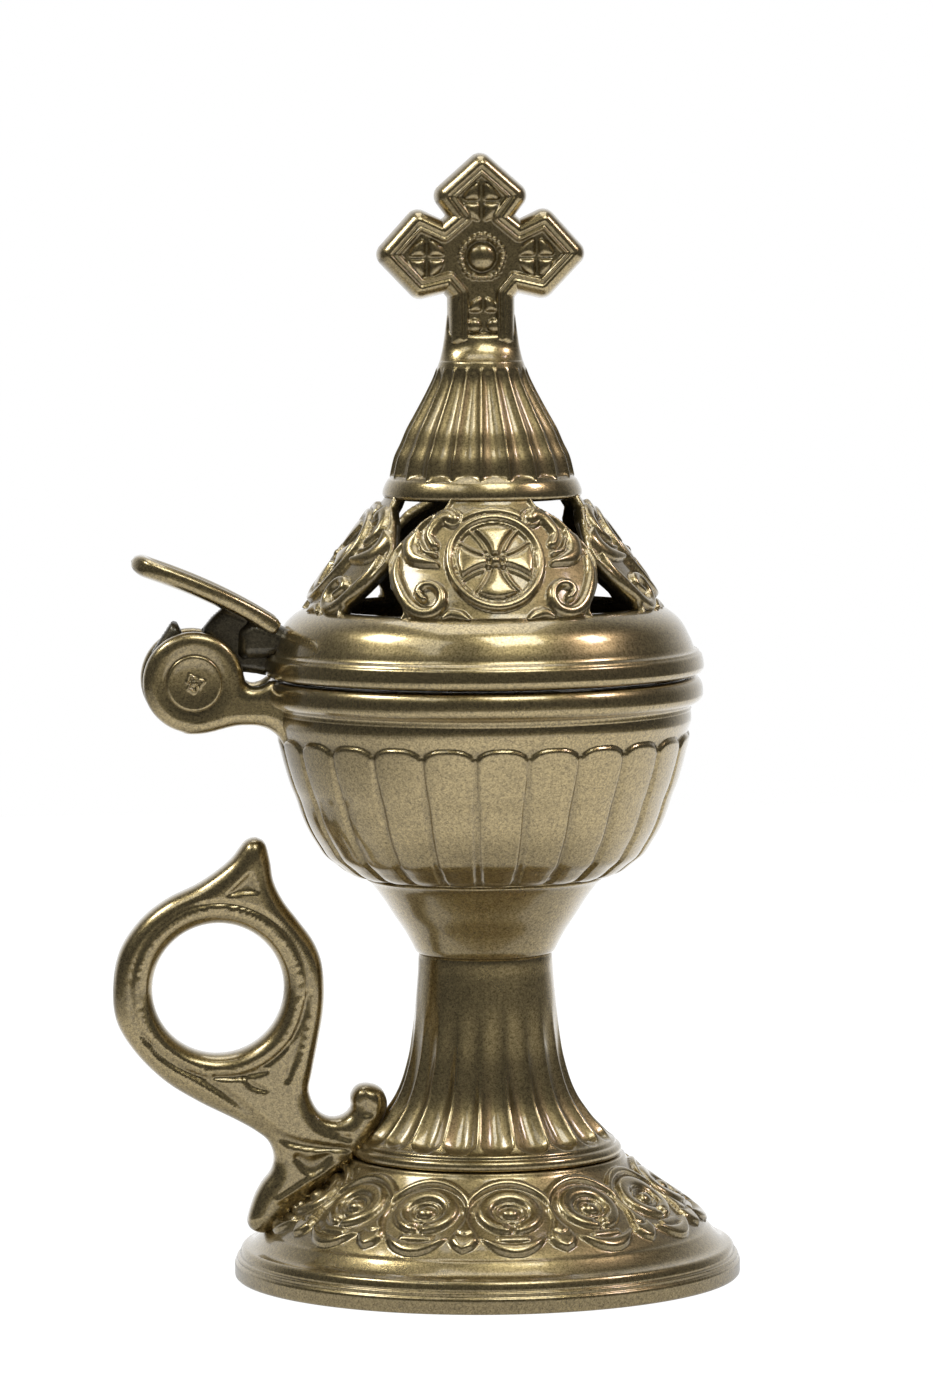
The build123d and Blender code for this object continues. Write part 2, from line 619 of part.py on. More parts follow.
def make_lever():
    side = Plane(origin=(-hinge_reach, 0, hinge_z), x_dir=(1, 0, 0), z_dir=(0, -1, 0))
    tip = (-lever_tip[0], lever_tip[1])
    root = (hinge_reach - lever_root_reach, lever_root_height)
    middle = ((tip[0] + root[0]) / 2 - 0.1, (tip[1] + root[1]) / 2 + 1.0)
    line = ThreePointArc(tip, middle, root)
    tongue_face = trace(line, lever_thickness) + Pos(*tip) * Circle(lever_thickness / 2)
    tongue = extrude(side * tongue_face, lever_width / 2, both=True)
    half = lever_width / 2
    left = -hinge_reach + tip[0] - lever_thickness / 2 + half
    plan = Pos(left, 0) * Circle(half)
    inner = lever_root_reach - 2.4
    plan = plan + make_face(Polyline((left, -half), (-inner, -half + 1), (-inner, half - 1), (left, half), close=True))
    tongue = tongue & extrude(Pos(0, 0, hinge_z) * plan, 2 * lever_tip[1])
    under = line @ 0.42
    web_face = make_face(Polyline(
        polar(knuckle_radius, 8), (hinge_reach - lever_pad_reach, 1.3), (hinge_reach - flange_radius - 0.5, 1.3),
        (hinge_reach - bowl_radius + 0.1, 4.5), root, (under.X, under.Y), (1.9, lug_radius + 0.4),
        polar(knuckle_radius, 88), close=True))
    web = extrude(side * web_face, knuckle_width / 2, both=True)
    pad_face = make_face(Polyline(
        (hinge_reach - lever_pad_reach, lug_radius - lever_pad_drop),
        (hinge_reach - lever_root_reach + 0.4, lug_radius - lever_pad_drop), root,
        (hinge_reach - lever_pad_reach, lever_root_height + 2.8), close=True))
    pad = extrude(side * pad_face, lever_pad_width / 2, both=True)
    spur_face = make_face([
        Line(polar(knuckle_radius - 1, spur_angle - 14), polar(lug_radius, spur_angle - 5)),
        Line(polar(lug_radius, spur_angle - 5), polar(spur_radius, spur_angle)),
        ThreePointArc(polar(spur_radius, spur_angle), polar((spur_radius + lug_radius) / 2 + 0.2, spur_angle + 13),
                      polar(lug_radius, spur_root_angle)),
        Line(polar(lug_radius, spur_root_angle), polar(knuckle_radius - 1, spur_root_angle)),
        Line(polar(knuckle_radius - 1, spur_root_angle), polar(knuckle_radius - 1, spur_angle - 14)),
    ])
    spur = extrude(side * spur_face, knuckle_width / 2, both=True)
    knuckle = across(knuckle_radius, knuckle_width, (-hinge_reach, 0, hinge_z))
    body = tongue + web + pad + spur + knuckle - lid_envelope()
    body = body - across(pin_radius + running_gap, 2 * knuckle_width, (-hinge_reach, 0, hinge_z))
    holes = [along_x(lever_screw_radius + seat_gap, lever_screw_length + 0.2, at) for at in lever_screw_places()]
    return body - holes


# ---------------------------------------------------------------------------
# Ring handle
# ---------------------------------------------------------------------------
def ring_point(angle, radius=ring_radius):
    x, z = polar(radius, angle)
    return (x - ring_reach, z + ring_height)


def handle_face():
    knob = (-knob_reach, knob_height)
    left, low, right, shoulder = ring_point(115), ring_point(237), ring_point(-30), ring_point(28)
    horn = (-ring_reach + 5.8, ring_height + ring_radius + 7.8)
    heel = (-ring_reach + 8.1, knob_height - 6.9)
    toe = (-foot_radius + 2.1, foot_rim_height + 5.9)
    shin = ((heel[0] + toe[0]) / 2 + 0.3, knob_height - 10.6)
    throat = (-knob_reach - 5.7, knob_height - 1.8)
    knob_left = (knob[0] - knob_radius, knob[1])
    knob_right = (knob[0] + knob_radius, knob[1])
    root = 3.0                                  # inside the foot's rim, cut away where it seats
    face = make_face([
        Spline(horn, (horn[0] - 3.8, horn[1] - 3.4), (horn[0] - 8.3, horn[1] - 6.7), left,
               tangents=((-0.5, -1), (-0.9063, -0.4226))),
        ThreePointArc(left, ring_point(176), low),
        Spline(low, (-ring_reach - 3.5, knob_height + 1.8), (-ring_reach + 5.4, knob_height - 2.9), heel,
               tangents=((0.8387, -0.5446), (0, -1))),
        Spline(heel, shin, toe, tangents=((0, -1), (0, -1))),
        Line(toe, (toe[0], root)), Line((toe[0], root), (knob_right[0], root)),
        Line((knob_right[0], root), knob_right),
        ThreePointArc(knob_right, (knob[0], knob[1] + knob_radius), knob_left),
        Spline(knob_left, throat, (-knob_reach - 8.3, knob_height + 2.9), right, tangents=((0, -1), (0.5, 0.8660))),
        ThreePointArc(right, ring_point(0), shoulder),
        Spline(shoulder, (horn[0] + 4.1, horn[1] - 9.6), (horn[0] + 2.3, horn[1] - 3.6), horn,
               tangents=((-0.4695, 0.8829), (-0.8, 1))),
    ])
    tip = max(face.vertices(), key=lambda v: v.Y)
    return fillet(tip, horn_round)


def make_handle():
    face = handle_face()
    plane = Plane(origin=(0, 0, 0), x_dir=(1, 0, 0), z_dir=(0, -1, 0))
    body = extrude(plane * face, handle_thickness / 2, both=True)
    hole = across(finger_radius, 2 * handle_thickness, (-ring_reach, 0, ring_height))
    body = body - hole
    rims = body.edges().filter_by(lambda e: abs(abs(e.center().Y) - handle_thickness / 2) < 0.01)
    rims = rims.filter_by(lambda e: e.center().Z > 5)
    body = fillet(rims, handle_round)
    body = body - foot_envelope() - stem_envelope()
    depth = 2 * (screw_top_z - screw_seat_z)
    holes = [across(screw_radius + seat_gap, depth, (-reach, 0, screw_seat_z), up=True) for reach in screw_reaches]
    return body - holes


# ---------------------------------------------------------------------------
# Fasteners
# ---------------------------------------------------------------------------
def domed_screw(radius, length, head_radius, head_height):
    """Shank up from z = 0 with a domed head below it."""
    shank = Cylinder(radius, length, align=(Align.CENTER, Align.CENTER, Align.MIN))
    head = turned(
        Line((0, 0), (head_radius, 0)), Line((head_radius, 0), (head_radius, -0.35 * head_height)),
        ThreePointArc((head_radius, -0.35 * head_height), (0.72 * head_radius, -0.86 * head_height), (0, -head_height)),
        Line((0, -head_height), (0, 0)),
    )
    slot = Pos(0, 0, -head_height) * Box(2.2 * head_radius, 0.3 * head_radius, 0.8 * head_height)
    return shank + (head - slot)


def make_pin():
    end = hinge_width / 2 + pin_collar_height
    shank = across(pin_radius, hinge_width + pin_collar_height, (-hinge_reach, pin_collar_height / 2, hinge_z))
    head = across(pin_head_radius, pin_head_height, (-hinge_reach, -(hinge_width + pin_head_height) / 2, hinge_z))
    punch = Pos(-hinge_reach, -hinge_width / 2 - pin_head_height, hinge_z) * Sphere(pin_punch_radius)
    tail = Cone(pin_radius + pin_tail_spread, pin_radius - 0.3, pin_tail_height,
                align=(Align.CENTER, Align.CENTER, Align.MIN))
    return shank + head - punch + Pos(-hinge_reach, end, hinge_z) * Rot(-90, 0, 0) * tail


def make_collar():
    at = (-hinge_reach, (hinge_width + pin_collar_height) / 2, hinge_z)
    ring = across(pin_radius + pin_collar_wall, pin_collar_height, at)
    return ring - across(pin_radius + seat_gap, 3 * pin_collar_height, at)


def make_bolt():
    floor = ridge_z + bowl_floor
    roof = foot_height - foot_wall
    bottom = roof - washer_height - nut_height - thread_tail
    bolt = domed_screw(bolt_radius, floor - bottom, bolt_head_radius, bolt_head_height)
    return Pos(0, 0, floor) * Rot(180, 0, 0) * bolt


def make_washer():
    at = (0, 0, foot_height - foot_wall - washer_height / 2)
    bore = across(bolt_radius + bolt_clearance, 3 * washer_height, at, up=True)
    return across(washer_radius, washer_height, at, up=True) - bore


def make_nut():
    top = foot_height - foot_wall - washer_height
    nut = extrude(RegularPolygon(nut_across_flats / 2, 6, major_radius=False), nut_height)
    nut = nut & Cylinder(nut_across_flats * 0.56, 2 * nut_height)
    return Pos(0, 0, top - nut_height) * nut - across(bolt_radius + seat_gap, 4 * nut_height, (0, 0, top), up=True)


def make_handle_screws():
    length = screw_top_z - screw_seat_z - screw_hole_rise
    screw = domed_screw(screw_radius, length, screw_head_radius, screw_head_height)
    return [Pos(-reach, 0, screw_seat_z) * screw for reach in screw_reaches]


def make_finial_screw():
    length = finial_roof + screw_bite - screw_hole_rise
    return Pos(0, 0, finial_roof_z) * domed_screw(screw_radius, length, screw_head_radius, screw_head_height)


def make_lever_screws():
    screw = domed_screw(lever_screw_radius, lever_screw_length, lever_screw_head_radius, 1.0)
    return [Pos(*at) * Rot(0, -90, 0) * screw for at in lever_screw_places()]


# ---------------------------------------------------------------------------
# Write one STEP file for each piece
# ---------------------------------------------------------------------------
pieces = {
    "foot": make_foot(),
    "stem": make_stem(),
    "bowl": make_bowl(),
    "fire_cup": make_cup(),
    "tie_bolt": make_bolt(),
    "foot_washer": make_washer(),
    "foot_nut": make_nut(),
    "ring_handle": make_handle(),
    "handle_screws": Compound(make_handle_screws()),
    "lid": make_lid(),
    "cross_finial": make_cross(),
    "finial_screw": make_finial_screw(),
    "thumb_lever": make_lever(),
    "lever_screws": Compound(make_lever_screws()),
    "hinge_pin": make_pin(),
    "pin_collar": make_collar(),
}

for name, piece in pieces.items():
    export_step(piece, f"parts/{name}.step")
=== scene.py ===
"""Standing hand censer: pierced lid, lobed bowl, fluted stem, round foot and finger ring.

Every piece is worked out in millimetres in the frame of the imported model, whose axis is Z,
whose floor is z = 0 and whose hinge is on the -X side, and is put into its mesh in metres.
"""
import logging
import math
from dataclasses import dataclass, field
from enum import Enum
from typing import Callable, Sequence

import bpy
import numpy as np
from mathutils import Matrix, Vector


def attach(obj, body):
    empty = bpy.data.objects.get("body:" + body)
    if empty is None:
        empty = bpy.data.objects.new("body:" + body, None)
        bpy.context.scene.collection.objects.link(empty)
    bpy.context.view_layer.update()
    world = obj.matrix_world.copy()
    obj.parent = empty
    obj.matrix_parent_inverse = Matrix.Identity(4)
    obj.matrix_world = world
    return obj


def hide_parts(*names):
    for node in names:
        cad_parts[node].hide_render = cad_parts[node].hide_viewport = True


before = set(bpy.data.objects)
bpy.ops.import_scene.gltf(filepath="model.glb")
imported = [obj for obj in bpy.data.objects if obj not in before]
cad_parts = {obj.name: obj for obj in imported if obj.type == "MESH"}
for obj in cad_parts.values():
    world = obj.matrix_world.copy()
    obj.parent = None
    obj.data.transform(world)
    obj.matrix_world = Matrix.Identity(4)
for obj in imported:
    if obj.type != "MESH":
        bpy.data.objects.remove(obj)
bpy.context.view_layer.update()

Array = np.ndarray
Span = tuple[float, float]
Relief = Callable[[Array, Array, Array], Array]
Face = Callable[[Array, Array, Array, Array, Array], tuple[Array, Array]]
log = logging.getLogger("censer")

METRES = 0.001          # one millimetre
SAME_PLACE = 1e-4       # points nearer than this are one
FINE_POINTS = 24        # points worked out on a curve for each one given
FRONT = -math.pi / 2    # angle of the front of a turned piece, on the -Y side
NOWHERE = -9.0          # a height far below every relief
BOWL_MIDDLE = 0.09      # height that the lamps face, in metres
FASTENERS = (
    "tie_bolt", "foot_washer", "foot_nut", "handle_screws", "finial_screw", "lever_screws",
)


class Body(Enum):
    """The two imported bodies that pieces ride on."""

    VESSEL = "vessel"
    LID = "lid_group"


class Slot(Enum):
    """The bronze material slot's name; the remodelled pieces are given their material directly, not
    through it.
    """

    BRONZE = "bronze_enamel"


class Ends(Enum):
    """How a turned profile is closed."""

    LOOP = "loop"      # the profile comes back to its start
    POLES = "poles"    # the profile starts and ends on the axis


# ---------------------------------------------------------------------------
# Lines
# ---------------------------------------------------------------------------

def evenly(line: Array, step: float) -> Array:
    """Points an even distance apart along a run of straight spans.

    Args:
        line: (n, k) points.
        step: the distance wanted, which is rounded so that both ends are kept.

    Returns:
        (m, k) points, each a linear blend of its span's ends by length.
    """
    line = np.asarray(line, float)
    run = length_along(line)
    at = np.linspace(0.0, run[-1], max(2, int(math.ceil(run[-1] / step)) + 1))
    return np.stack([np.interp(at, run, line[:, k]) for k in range(line.shape[1])], axis=1)


def flowing(points: Sequence, step: float) -> Array:
    """Points an even distance apart on the smooth curve through the given ones.

    Each span is the cubic whose end slopes are the slopes of the neighbouring points,
    over knots that grow with the root of the chord.

    Args:
        points: the points that the curve passes through.
        step: the distance between the points that come back.

    Returns:
        (m, k) points.
    """
    p = np.asarray(points, float)
    chords = np.linalg.norm(np.diff(p, axis=0), axis=1)
    knots = np.concatenate([[0.0], np.cumsum(np.sqrt(chords))])
    slope = np.gradient(p, knots, axis=0)
    at = np.linspace(0.0, knots[-1], FINE_POINTS * len(p))
    k = np.clip(np.searchsorted(knots, at, side="right") - 1, 0, len(p) - 2)
    span = (knots[k + 1] - knots[k])[:, None]
    t = (at - knots[k])[:, None] / span
    curve = (
        (2 * t**3 - 3 * t**2 + 1) * p[k]
        + (t**3 - 2 * t**2 + t) * span * slope[k]
        + (3 * t**2 - 2 * t**3) * p[k + 1]
        + (t**3 - t**2) * span * slope[k + 1]
    )
    return evenly(curve, step)


def chain(*runs: Sequence) -> Array:
    """Runs of points end to end, each joint's doubled point dropped."""
    joined = np.concatenate([np.asarray(run, float) for run in runs])
    apart = np.linalg.norm(np.diff(joined, axis=0), axis=1) > SAME_PLACE
    return joined[np.concatenate([[True], apart])]


def length_along(line: Array) -> Array:
    """Distance from the line's start to each of its points."""
    return np.concatenate([[0.0], np.cumsum(np.linalg.norm(np.diff(line, axis=0), axis=1))])


# ---------------------------------------------------------------------------
# Relief: heights worked out from distances
# ---------------------------------------------------------------------------

def smooth(low: float, high: float, x: Array) -> Array:
    """0 below low, 1 above high, and the S curve 3t2 - 2t3 between."""
    t = np.clip((x - low) / (high - low), 0.0, 1.0)
    return t * t * (3 - 2 * t)


def cushion(inside: Array, width: float, height: float) -> Array:
    """A rounded rise: a quarter ellipse over `width` from the edge, level after it."""
    t = np.clip(inside / width, 0.0, 1.0)
    return height * np.sqrt(t * (2 - t))


def ball(share: Array, height: float) -> Array:
    """A half ellipse: height * sqrt(1 - share2), with share the distance over the radius."""
    return height * np.sqrt(np.clip(1 - share**2, 0.0, 1.0))


def quarter_circle(share: Array) -> Array:
    """A rise from 0 to 1 along a quarter circle: sqrt(1 - (1 - share)2)."""
    return np.sqrt(np.clip(1 - (1 - np.clip(share, 0, 1)) ** 2, 0.0, 1))


def signed_power(x: Array, power: Array) -> Array:
    """|x|^power with x's sign, as superellipses have."""
    return np.sign(x) * np.abs(x) ** power


def wire(distance: Array, width: float, height: float) -> Array:
    """A fine raised line: the bell exp(-(distance / width)2)."""
    return height * np.exp(-((distance / width) ** 2))


def soft_min(a: Array, b: Array, reach: float) -> Array:
    """The smaller of two distances, rounded off where they are within `reach` of each other."""
    share = np.clip(0.5 + 0.5 * (b - a) / reach, 0.0, 1.0)
    return b + (a - b) * share - reach * share * (1 - share)


def around(angle: Array, count: int, centre: float) -> Array:
    """Angle from the nearest of `count` equal units, one of them at `centre`."""
    pitch = 2 * math.pi / count
    return (angle - centre + pitch / 2) % pitch - pitch / 2


def to_line(u: Array, v: Array, line: Array) -> tuple[Array, Array]:
    """Distance of points from a line of straight spans, and how far along it the nearest place is.

    Args:
        u: across.
        v: up.
        line: (n, 2) points.

    Returns:
        The distance, and the share of the line's length from 0 to 1.
    """
    run = length_along(line)
    nearest = np.full(u.shape, 1e9)
    share = np.zeros(u.shape)
    for k in range(len(line) - 1):
        (a, b), (c, d) = line[k], line[k + 1]
        du, dv = c - a, d - b
        t = np.clip(((u - a) * du + (v - b) * dv) / (du * du + dv * dv + 1e-12), 0.0, 1.0)
        away = np.hypot(u - a - t * du, v - b - t * dv)
        closer = away < nearest
        nearest = np.where(closer, away, nearest)
        share = np.where(closer, (run[k] + t * (run[k + 1] - run[k])) / run[-1], share)
    return nearest, share


def in_loop(u: Array, v: Array, loop: Array) -> Array:
    """Distance in from a closed outline: positive inside it and negative outside.

    The distance is to the nearest span, and a point is inside if a ray to the right
    crosses the outline an odd number of times.

    Args:
        u: across.
        v: up.
        loop: (n, 2) corners, the last joined to the first.

    Returns:
        The distance of each point.
    """
    closed = np.concatenate([loop, loop[:1]])
    away, _ = to_line(u, v, closed)
    crossings = np.zeros(u.shape, bool)
    for (a, b), (c, d) in zip(closed[:-1], closed[1:]):
        if b != d:
            crossings ^= ((b > v) != (d > v)) & (u < (c - a) * (v - b) / (d - b) + a)
    return np.where(crossings, away, -away)


def shrunk(loop: Sequence, inset: float) -> Array:
    """An outline moved in so that every side lies `inset` further in.

    A corner moves by inset (n1 + n2) / (1 + n1 n2), where n1 and n2 are its sides' inward normals.

    Args:
        loop: corners of a clockwise outline.
        inset: how far in.

    Returns:
        (n, 2) corners.
    """
    corners = np.asarray(loop, float)
    along = np.roll(corners, -1, axis=0) - corners
    along /= np.linalg.norm(along, axis=1, keepdims=True)
    inward = np.stack([along[:, 1], -along[:, 0]], axis=1)
    before = np.roll(inward, 1, axis=0)
    return corners + inset * (inward + before) / (1 + (inward * before).sum(axis=1, keepdims=True))


@dataclass(frozen=True)
class Stroke:
    """A tapering leaf or scroll of relief along a curve.

    Its section is a half ellipse: height * sqrt(1 - (distance / half width)2), with the
    half width read along the curve from `widths`.
    """

    points: Sequence
    widths: Sequence
    height: float = 0.8

    def rise(self, u: Array, v: Array) -> Array:
        """Height of the stroke at each point, 0 off it."""
        away, share = to_line(u, v, flowing(self.points, 0.45))
        half = np.interp(share, np.linspace(0, 1, len(self.widths)), self.widths)
        return ball(away / half, self.height)


# ---------------------------------------------------------------------------
# Surfaces
# ---------------------------------------------------------------------------

def grid_quads(rows: int, columns: int, wrap_rows: bool, wrap_columns: bool) -> Array:
    """The quads of a grid whose points are stored row by row.

    Args:
        rows: points up.
        columns: points across.
        wrap_rows: whether the last row joins the first.
        wrap_columns: whether the last column joins the first.

    Returns:
        (n, 4) point numbers.
    """
    i, j = np.meshgrid(
        np.arange(rows if wrap_rows else rows - 1),
        np.arange(columns if wrap_columns else columns - 1),
        indexing="ij",
    )
    i1, j1 = (i + 1) % rows, (j + 1) % columns
    corners = [i * columns + j, i * columns + j1, i1 * columns + j1, i1 * columns + j]
    return np.stack(corners, axis=-1).reshape(-1, 4)


@dataclass
class Skin:
    """A surface: points in millimetres, its quads and triangles, and how sunk each point is."""

    points: Array
    quads: Array
    tris: Array = field(default_factory=lambda: np.zeros((0, 3), int))
    sunk: Array | None = None

    def depths(self) -> Array:
        """How deep each point is sunk, 0 where nothing was said."""
        return np.zeros(len(self.points)) if self.sunk is None else self.sunk

    def joined(self, *others: "Skin") -> "Skin":
        """This surface and others in one mesh.

        Args:
            others: the surfaces that come after it.

        Returns:
            One surface of separate shells.
        """
        skins = [self, *others]
        starts = np.cumsum([0] + [len(s.points) for s in skins[:-1]])
        return Skin(
            np.concatenate([s.points for s in skins]),
            np.concatenate([s.quads + n for s, n in zip(skins, starts)]),
            np.concatenate([s.tris + n for s, n in zip(skins, starts)]),
            np.concatenate([s.depths() for s in skins]),
        )

    def about_axis(self, degrees: float) -> "Skin":
        """This surface turned about Z.

        Args:
            degrees: how far, anticlockwise from above.

        Returns:
            The turned surface.
        """
        c, s = math.cos(math.radians(degrees)), math.sin(math.radians(degrees))
        turn = np.array([[c, -s, 0.0], [s, c, 0.0], [0.0, 0.0, 1.0]])
        return Skin(self.points @ turn.T, self.quads, self.tris, self.sunk)

    def laid_along_y(self, x: float, z: float) -> "Skin":
        """This surface with its Z axis laid along -Y.

        Args:
            x: where the laid axis stands across.
            z: its height.

        Returns:
            The moved surface.
        """
        p = self.points
        moved = np.stack([p[:, 0] + x, -p[:, 2], p[:, 1] + z], axis=1)
        return Skin(moved, self.quads, self.tris, self.sunk)

    def mesh(self, name: str) -> bpy.types.Mesh:
        """The surface as a smooth mesh in metres, with its depths as the attribute `sunk`.

        Args:
            name: the mesh's name.

        Returns:
            The mesh.
        """
        mesh = bpy.data.meshes.new(name)
        corners = np.concatenate([self.quads.ravel(), self.tris.ravel()]).astype(np.int32)
        sizes = np.concatenate([np.full(len(self.quads), 4), np.full(len(self.tris), 3)])
        starts = np.concatenate([[0], np.cumsum(sizes)[:-1]]).astype(np.int32)
        mesh.vertices.add(len(self.points))
        mesh.vertices.foreach_set("co", (self.points * METRES).astype(np.float32).ravel())
        mesh.loops.add(len(corners))
        mesh.loops.foreach_set("vertex_index", corners)
        mesh.polygons.add(len(sizes))
        mesh.polygons.foreach_set("loop_start", starts)
        mesh.polygons.foreach_set("use_smooth", np.ones(len(sizes), bool))
        mesh.update(calc_edges=True)
        mesh.validate()
        depths = mesh.attributes.new("sunk", "FLOAT", "POINT")
        depths.data.foreach_set("value", self.depths().astype(np.float32))
        return mesh

    def place(
        self, name: str, body: Body, finish: bpy.types.Material, stands_for: str = ""
    ) -> None:
        """Makes the surface a piece, dressed in bronze and riding on its body.

        Args:
            name: the piece's name.
            body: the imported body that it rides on.
            finish: the material.
            stands_for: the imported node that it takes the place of, if any.
        """
        mesh = self.mesh(name)
        mesh.materials.append(finish)
        piece = bpy.data.objects.new(name, mesh)
        bpy.context.scene.collection.objects.link(piece)
        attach(piece, body.value)
        if stands_for:
            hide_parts(stands_for)
        triangles = 2 * len(self.quads) + len(self.tris)
        log.info("%s: %d triangles on %s", name, triangles, body.value)


def capped(rings: Array, columns: int, ends: Sequence, sunk: Array | None = None) -> Skin:
    """Rings of points joined into a tube that a fan closes at each end.

    Args:
        rings: (n * columns, 3) points, ring by ring.
        columns: points in one ring.
        ends: the points at the middle of the first and the last fan.
        sunk: how sunk each point of the rings is.

    Returns:
        The closed surface.
    """
    count = len(rings)
    last = count - columns
    ring = np.arange(columns)
    after = (ring + 1) % columns
    foot = np.stack([np.full(columns, count), after, ring], axis=1)
    head = np.stack([np.full(columns, count + 1), last + ring, last + after], axis=1)
    return Skin(
        np.concatenate([rings, np.asarray(ends, float)]),
        grid_quads(count // columns, columns, False, True),
        np.concatenate([foot, head]),
        None if sunk is None else np.concatenate([sunk, [0.0, 0.0]]),
    )


def turned(profile: Array, columns: int, ends: Ends, relief: Relief | None = None) -> Skin:
    """A profile carried round the Z axis, raised along its own normal by a relief.

    A point is (radius cos t, radius sin t, height), where radius and height are the
    profile's, moved out by relief(t, radius, run) along the profile's normal.

    Args:
        profile: (n, 2) radius and height, going up on the outside.
        columns: points in one turn.
        ends: how the profile is closed.
        relief: heights from the angle, the radius and the distance along the profile.

    Returns:
        The closed surface.
    """
    closed = ends is Ends.LOOP
    if closed and np.linalg.norm(profile[0] - profile[-1]) < SAME_PLACE:
        profile = profile[:-1]
    around_it = np.concatenate([profile[-1:], profile, profile[:1]]) if closed else profile
    slope = np.gradient(around_it, axis=0)
    slope = slope[1:-1] if closed else slope
    slope /= np.linalg.norm(slope, axis=1, keepdims=True) + 1e-12
    angle = np.linspace(0, 2 * math.pi, columns, endpoint=False)[None, :]
    radius, height = profile[:, :1], profile[:, 1:]
    rise = np.zeros((len(profile), columns))
    if relief is not None:
        rise = rise + relief(angle, radius, length_along(profile)[:, None])
    r = radius + slope[:, 1:] * rise
    z = height - slope[:, :1] * rise
    points = np.stack([r * np.cos(angle), r * np.sin(angle), z + 0 * angle], axis=-1)
    points = points.reshape(-1, 3)
    sunk = (rise.max(axis=1, keepdims=True) - rise).reshape(-1)
    if closed:
        return Skin(points, grid_quads(len(profile), columns, True, True), sunk=sunk)
    poles = [(0.0, 0.0, z[0].mean()), (0.0, 0.0, z[-1].mean())]
    return capped(points[columns:-columns], columns, poles, sunk[columns:-columns])


def without_spikes(cells: Array) -> Array:
    """Drops the cells with all four corners on the rim, where two sealed faces would coincide.

    Args:
        cells: quads of point numbers.

    Returns:
        The quads that are left, each with a corner inside the rim.
    """
    while True:
        a, b = rim_of(cells)
        on_rim = np.isin(cells, np.concatenate([a, b]))
        thin = on_rim.all(axis=1)
        if not thin.any():
            return cells
        cells = cells[~thin]


def rim_of(cells: Array) -> tuple[Array, Array]:
    """The sides that only one cell has, as the numbers of their two ends."""
    a, b = cells.ravel(), np.roll(cells, -1, axis=1).ravel()
    total = cells.max() + 1
    single = ~np.isin(a * total + b, b * total + a)
    return a[single], b[single]


@dataclass(frozen=True)
class Plate:
    """A flat or bent plate cut to an outline, with its own front and back.

    `inside(u, v)` is the distance in from the edge. A regular grid is laid over the plate,
    the cells whose middle is inside are kept, and the points on their rim are moved along
    the slope of the distance onto the edge itself.
    """

    u_range: tuple[float, float]
    v_range: tuple[float, float]
    step: float
    inside: Callable[[Array, Array], Array]
    sealed: bool = True

    def slope(self, u: Array, v: Array) -> tuple[Array, Array]:
        """Slope of the distance, from its change over a twentieth of a step each way.

        Args:
            u: across.
            v: up.

        Returns:
            The slope across and up, of length 1 except where the distance is nearly level.
        """
        e = self.step / 20
        du = (self.inside(u + e, v) - self.inside(u - e, v)) / (2 * e)
        dv = (self.inside(u, v + e) - self.inside(u, v - e)) / (2 * e)
        size = np.maximum(np.hypot(du, dv), 0.2)
        return du / size, dv / size

    def build(self, front: Face, back: Face) -> Skin:
        """Makes both faces and the wall between them.

        Args:
            front: from u, v, the distance in and its slope, the points and how sunk they are.
            back: the same for the other face.

        Returns:
            A closed surface. A sealed plate's faces share their rim; another has a wall.
        """
        us = np.arange(self.u_range[0], self.u_range[1] + self.step, self.step)
        vs = np.arange(self.v_range[0], self.v_range[1] + self.step, self.step)
        v, u = (m.ravel() for m in np.meshgrid(vs, us, indexing="ij"))
        d = self.inside(u, v)
        cells = grid_quads(len(vs), len(us), False, False)
        cells = cells[d[cells].mean(axis=1) > 0]
        if self.sealed:
            cells = without_spikes(cells)
        used, cells = np.unique(cells, return_inverse=True)
        cells = cells.reshape(-1, 4)
        u, v, d = u[used], v[used], d[used]
        a, b = rim_of(cells)
        edge = np.unique(np.concatenate([a, b]))
        for _ in range(3):
            gu, gv = self.slope(u[edge], v[edge])
            shift = np.clip(d[edge], -self.step, self.step)
            u[edge] -= shift * gu
            v[edge] -= shift * gv
            d[edge] = self.inside(u[edge], v[edge])
        d = np.maximum(d, 0.0)
        d[edge] = 0.0
        gu, gv = self.slope(u, v)
        near, near_sunk = front(u, v, d, gu, gv)
        far, far_sunk = back(u, v, d, gu, gv)
        points = np.concatenate([near, far])
        sunk = np.concatenate([near_sunk, far_sunk])
        count = len(used)
        under = cells[:, ::-1] + count
        if not self.sealed:
            walls = np.stack([b, a, a + count, b + count], axis=1)
            return Skin(points, np.concatenate([cells, under, walls]), sunk=sunk)
        home = np.arange(2 * count)
        home[edge + count] = edge
        kept, faces = np.unique(home[np.concatenate([cells, under])], return_inverse=True)
        return Skin(points[kept], faces.reshape(-1, 4), sunk=sunk[kept])


# ---------------------------------------------------------------------------
# Foot, stem and bowl
# ---------------------------------------------------------------------------

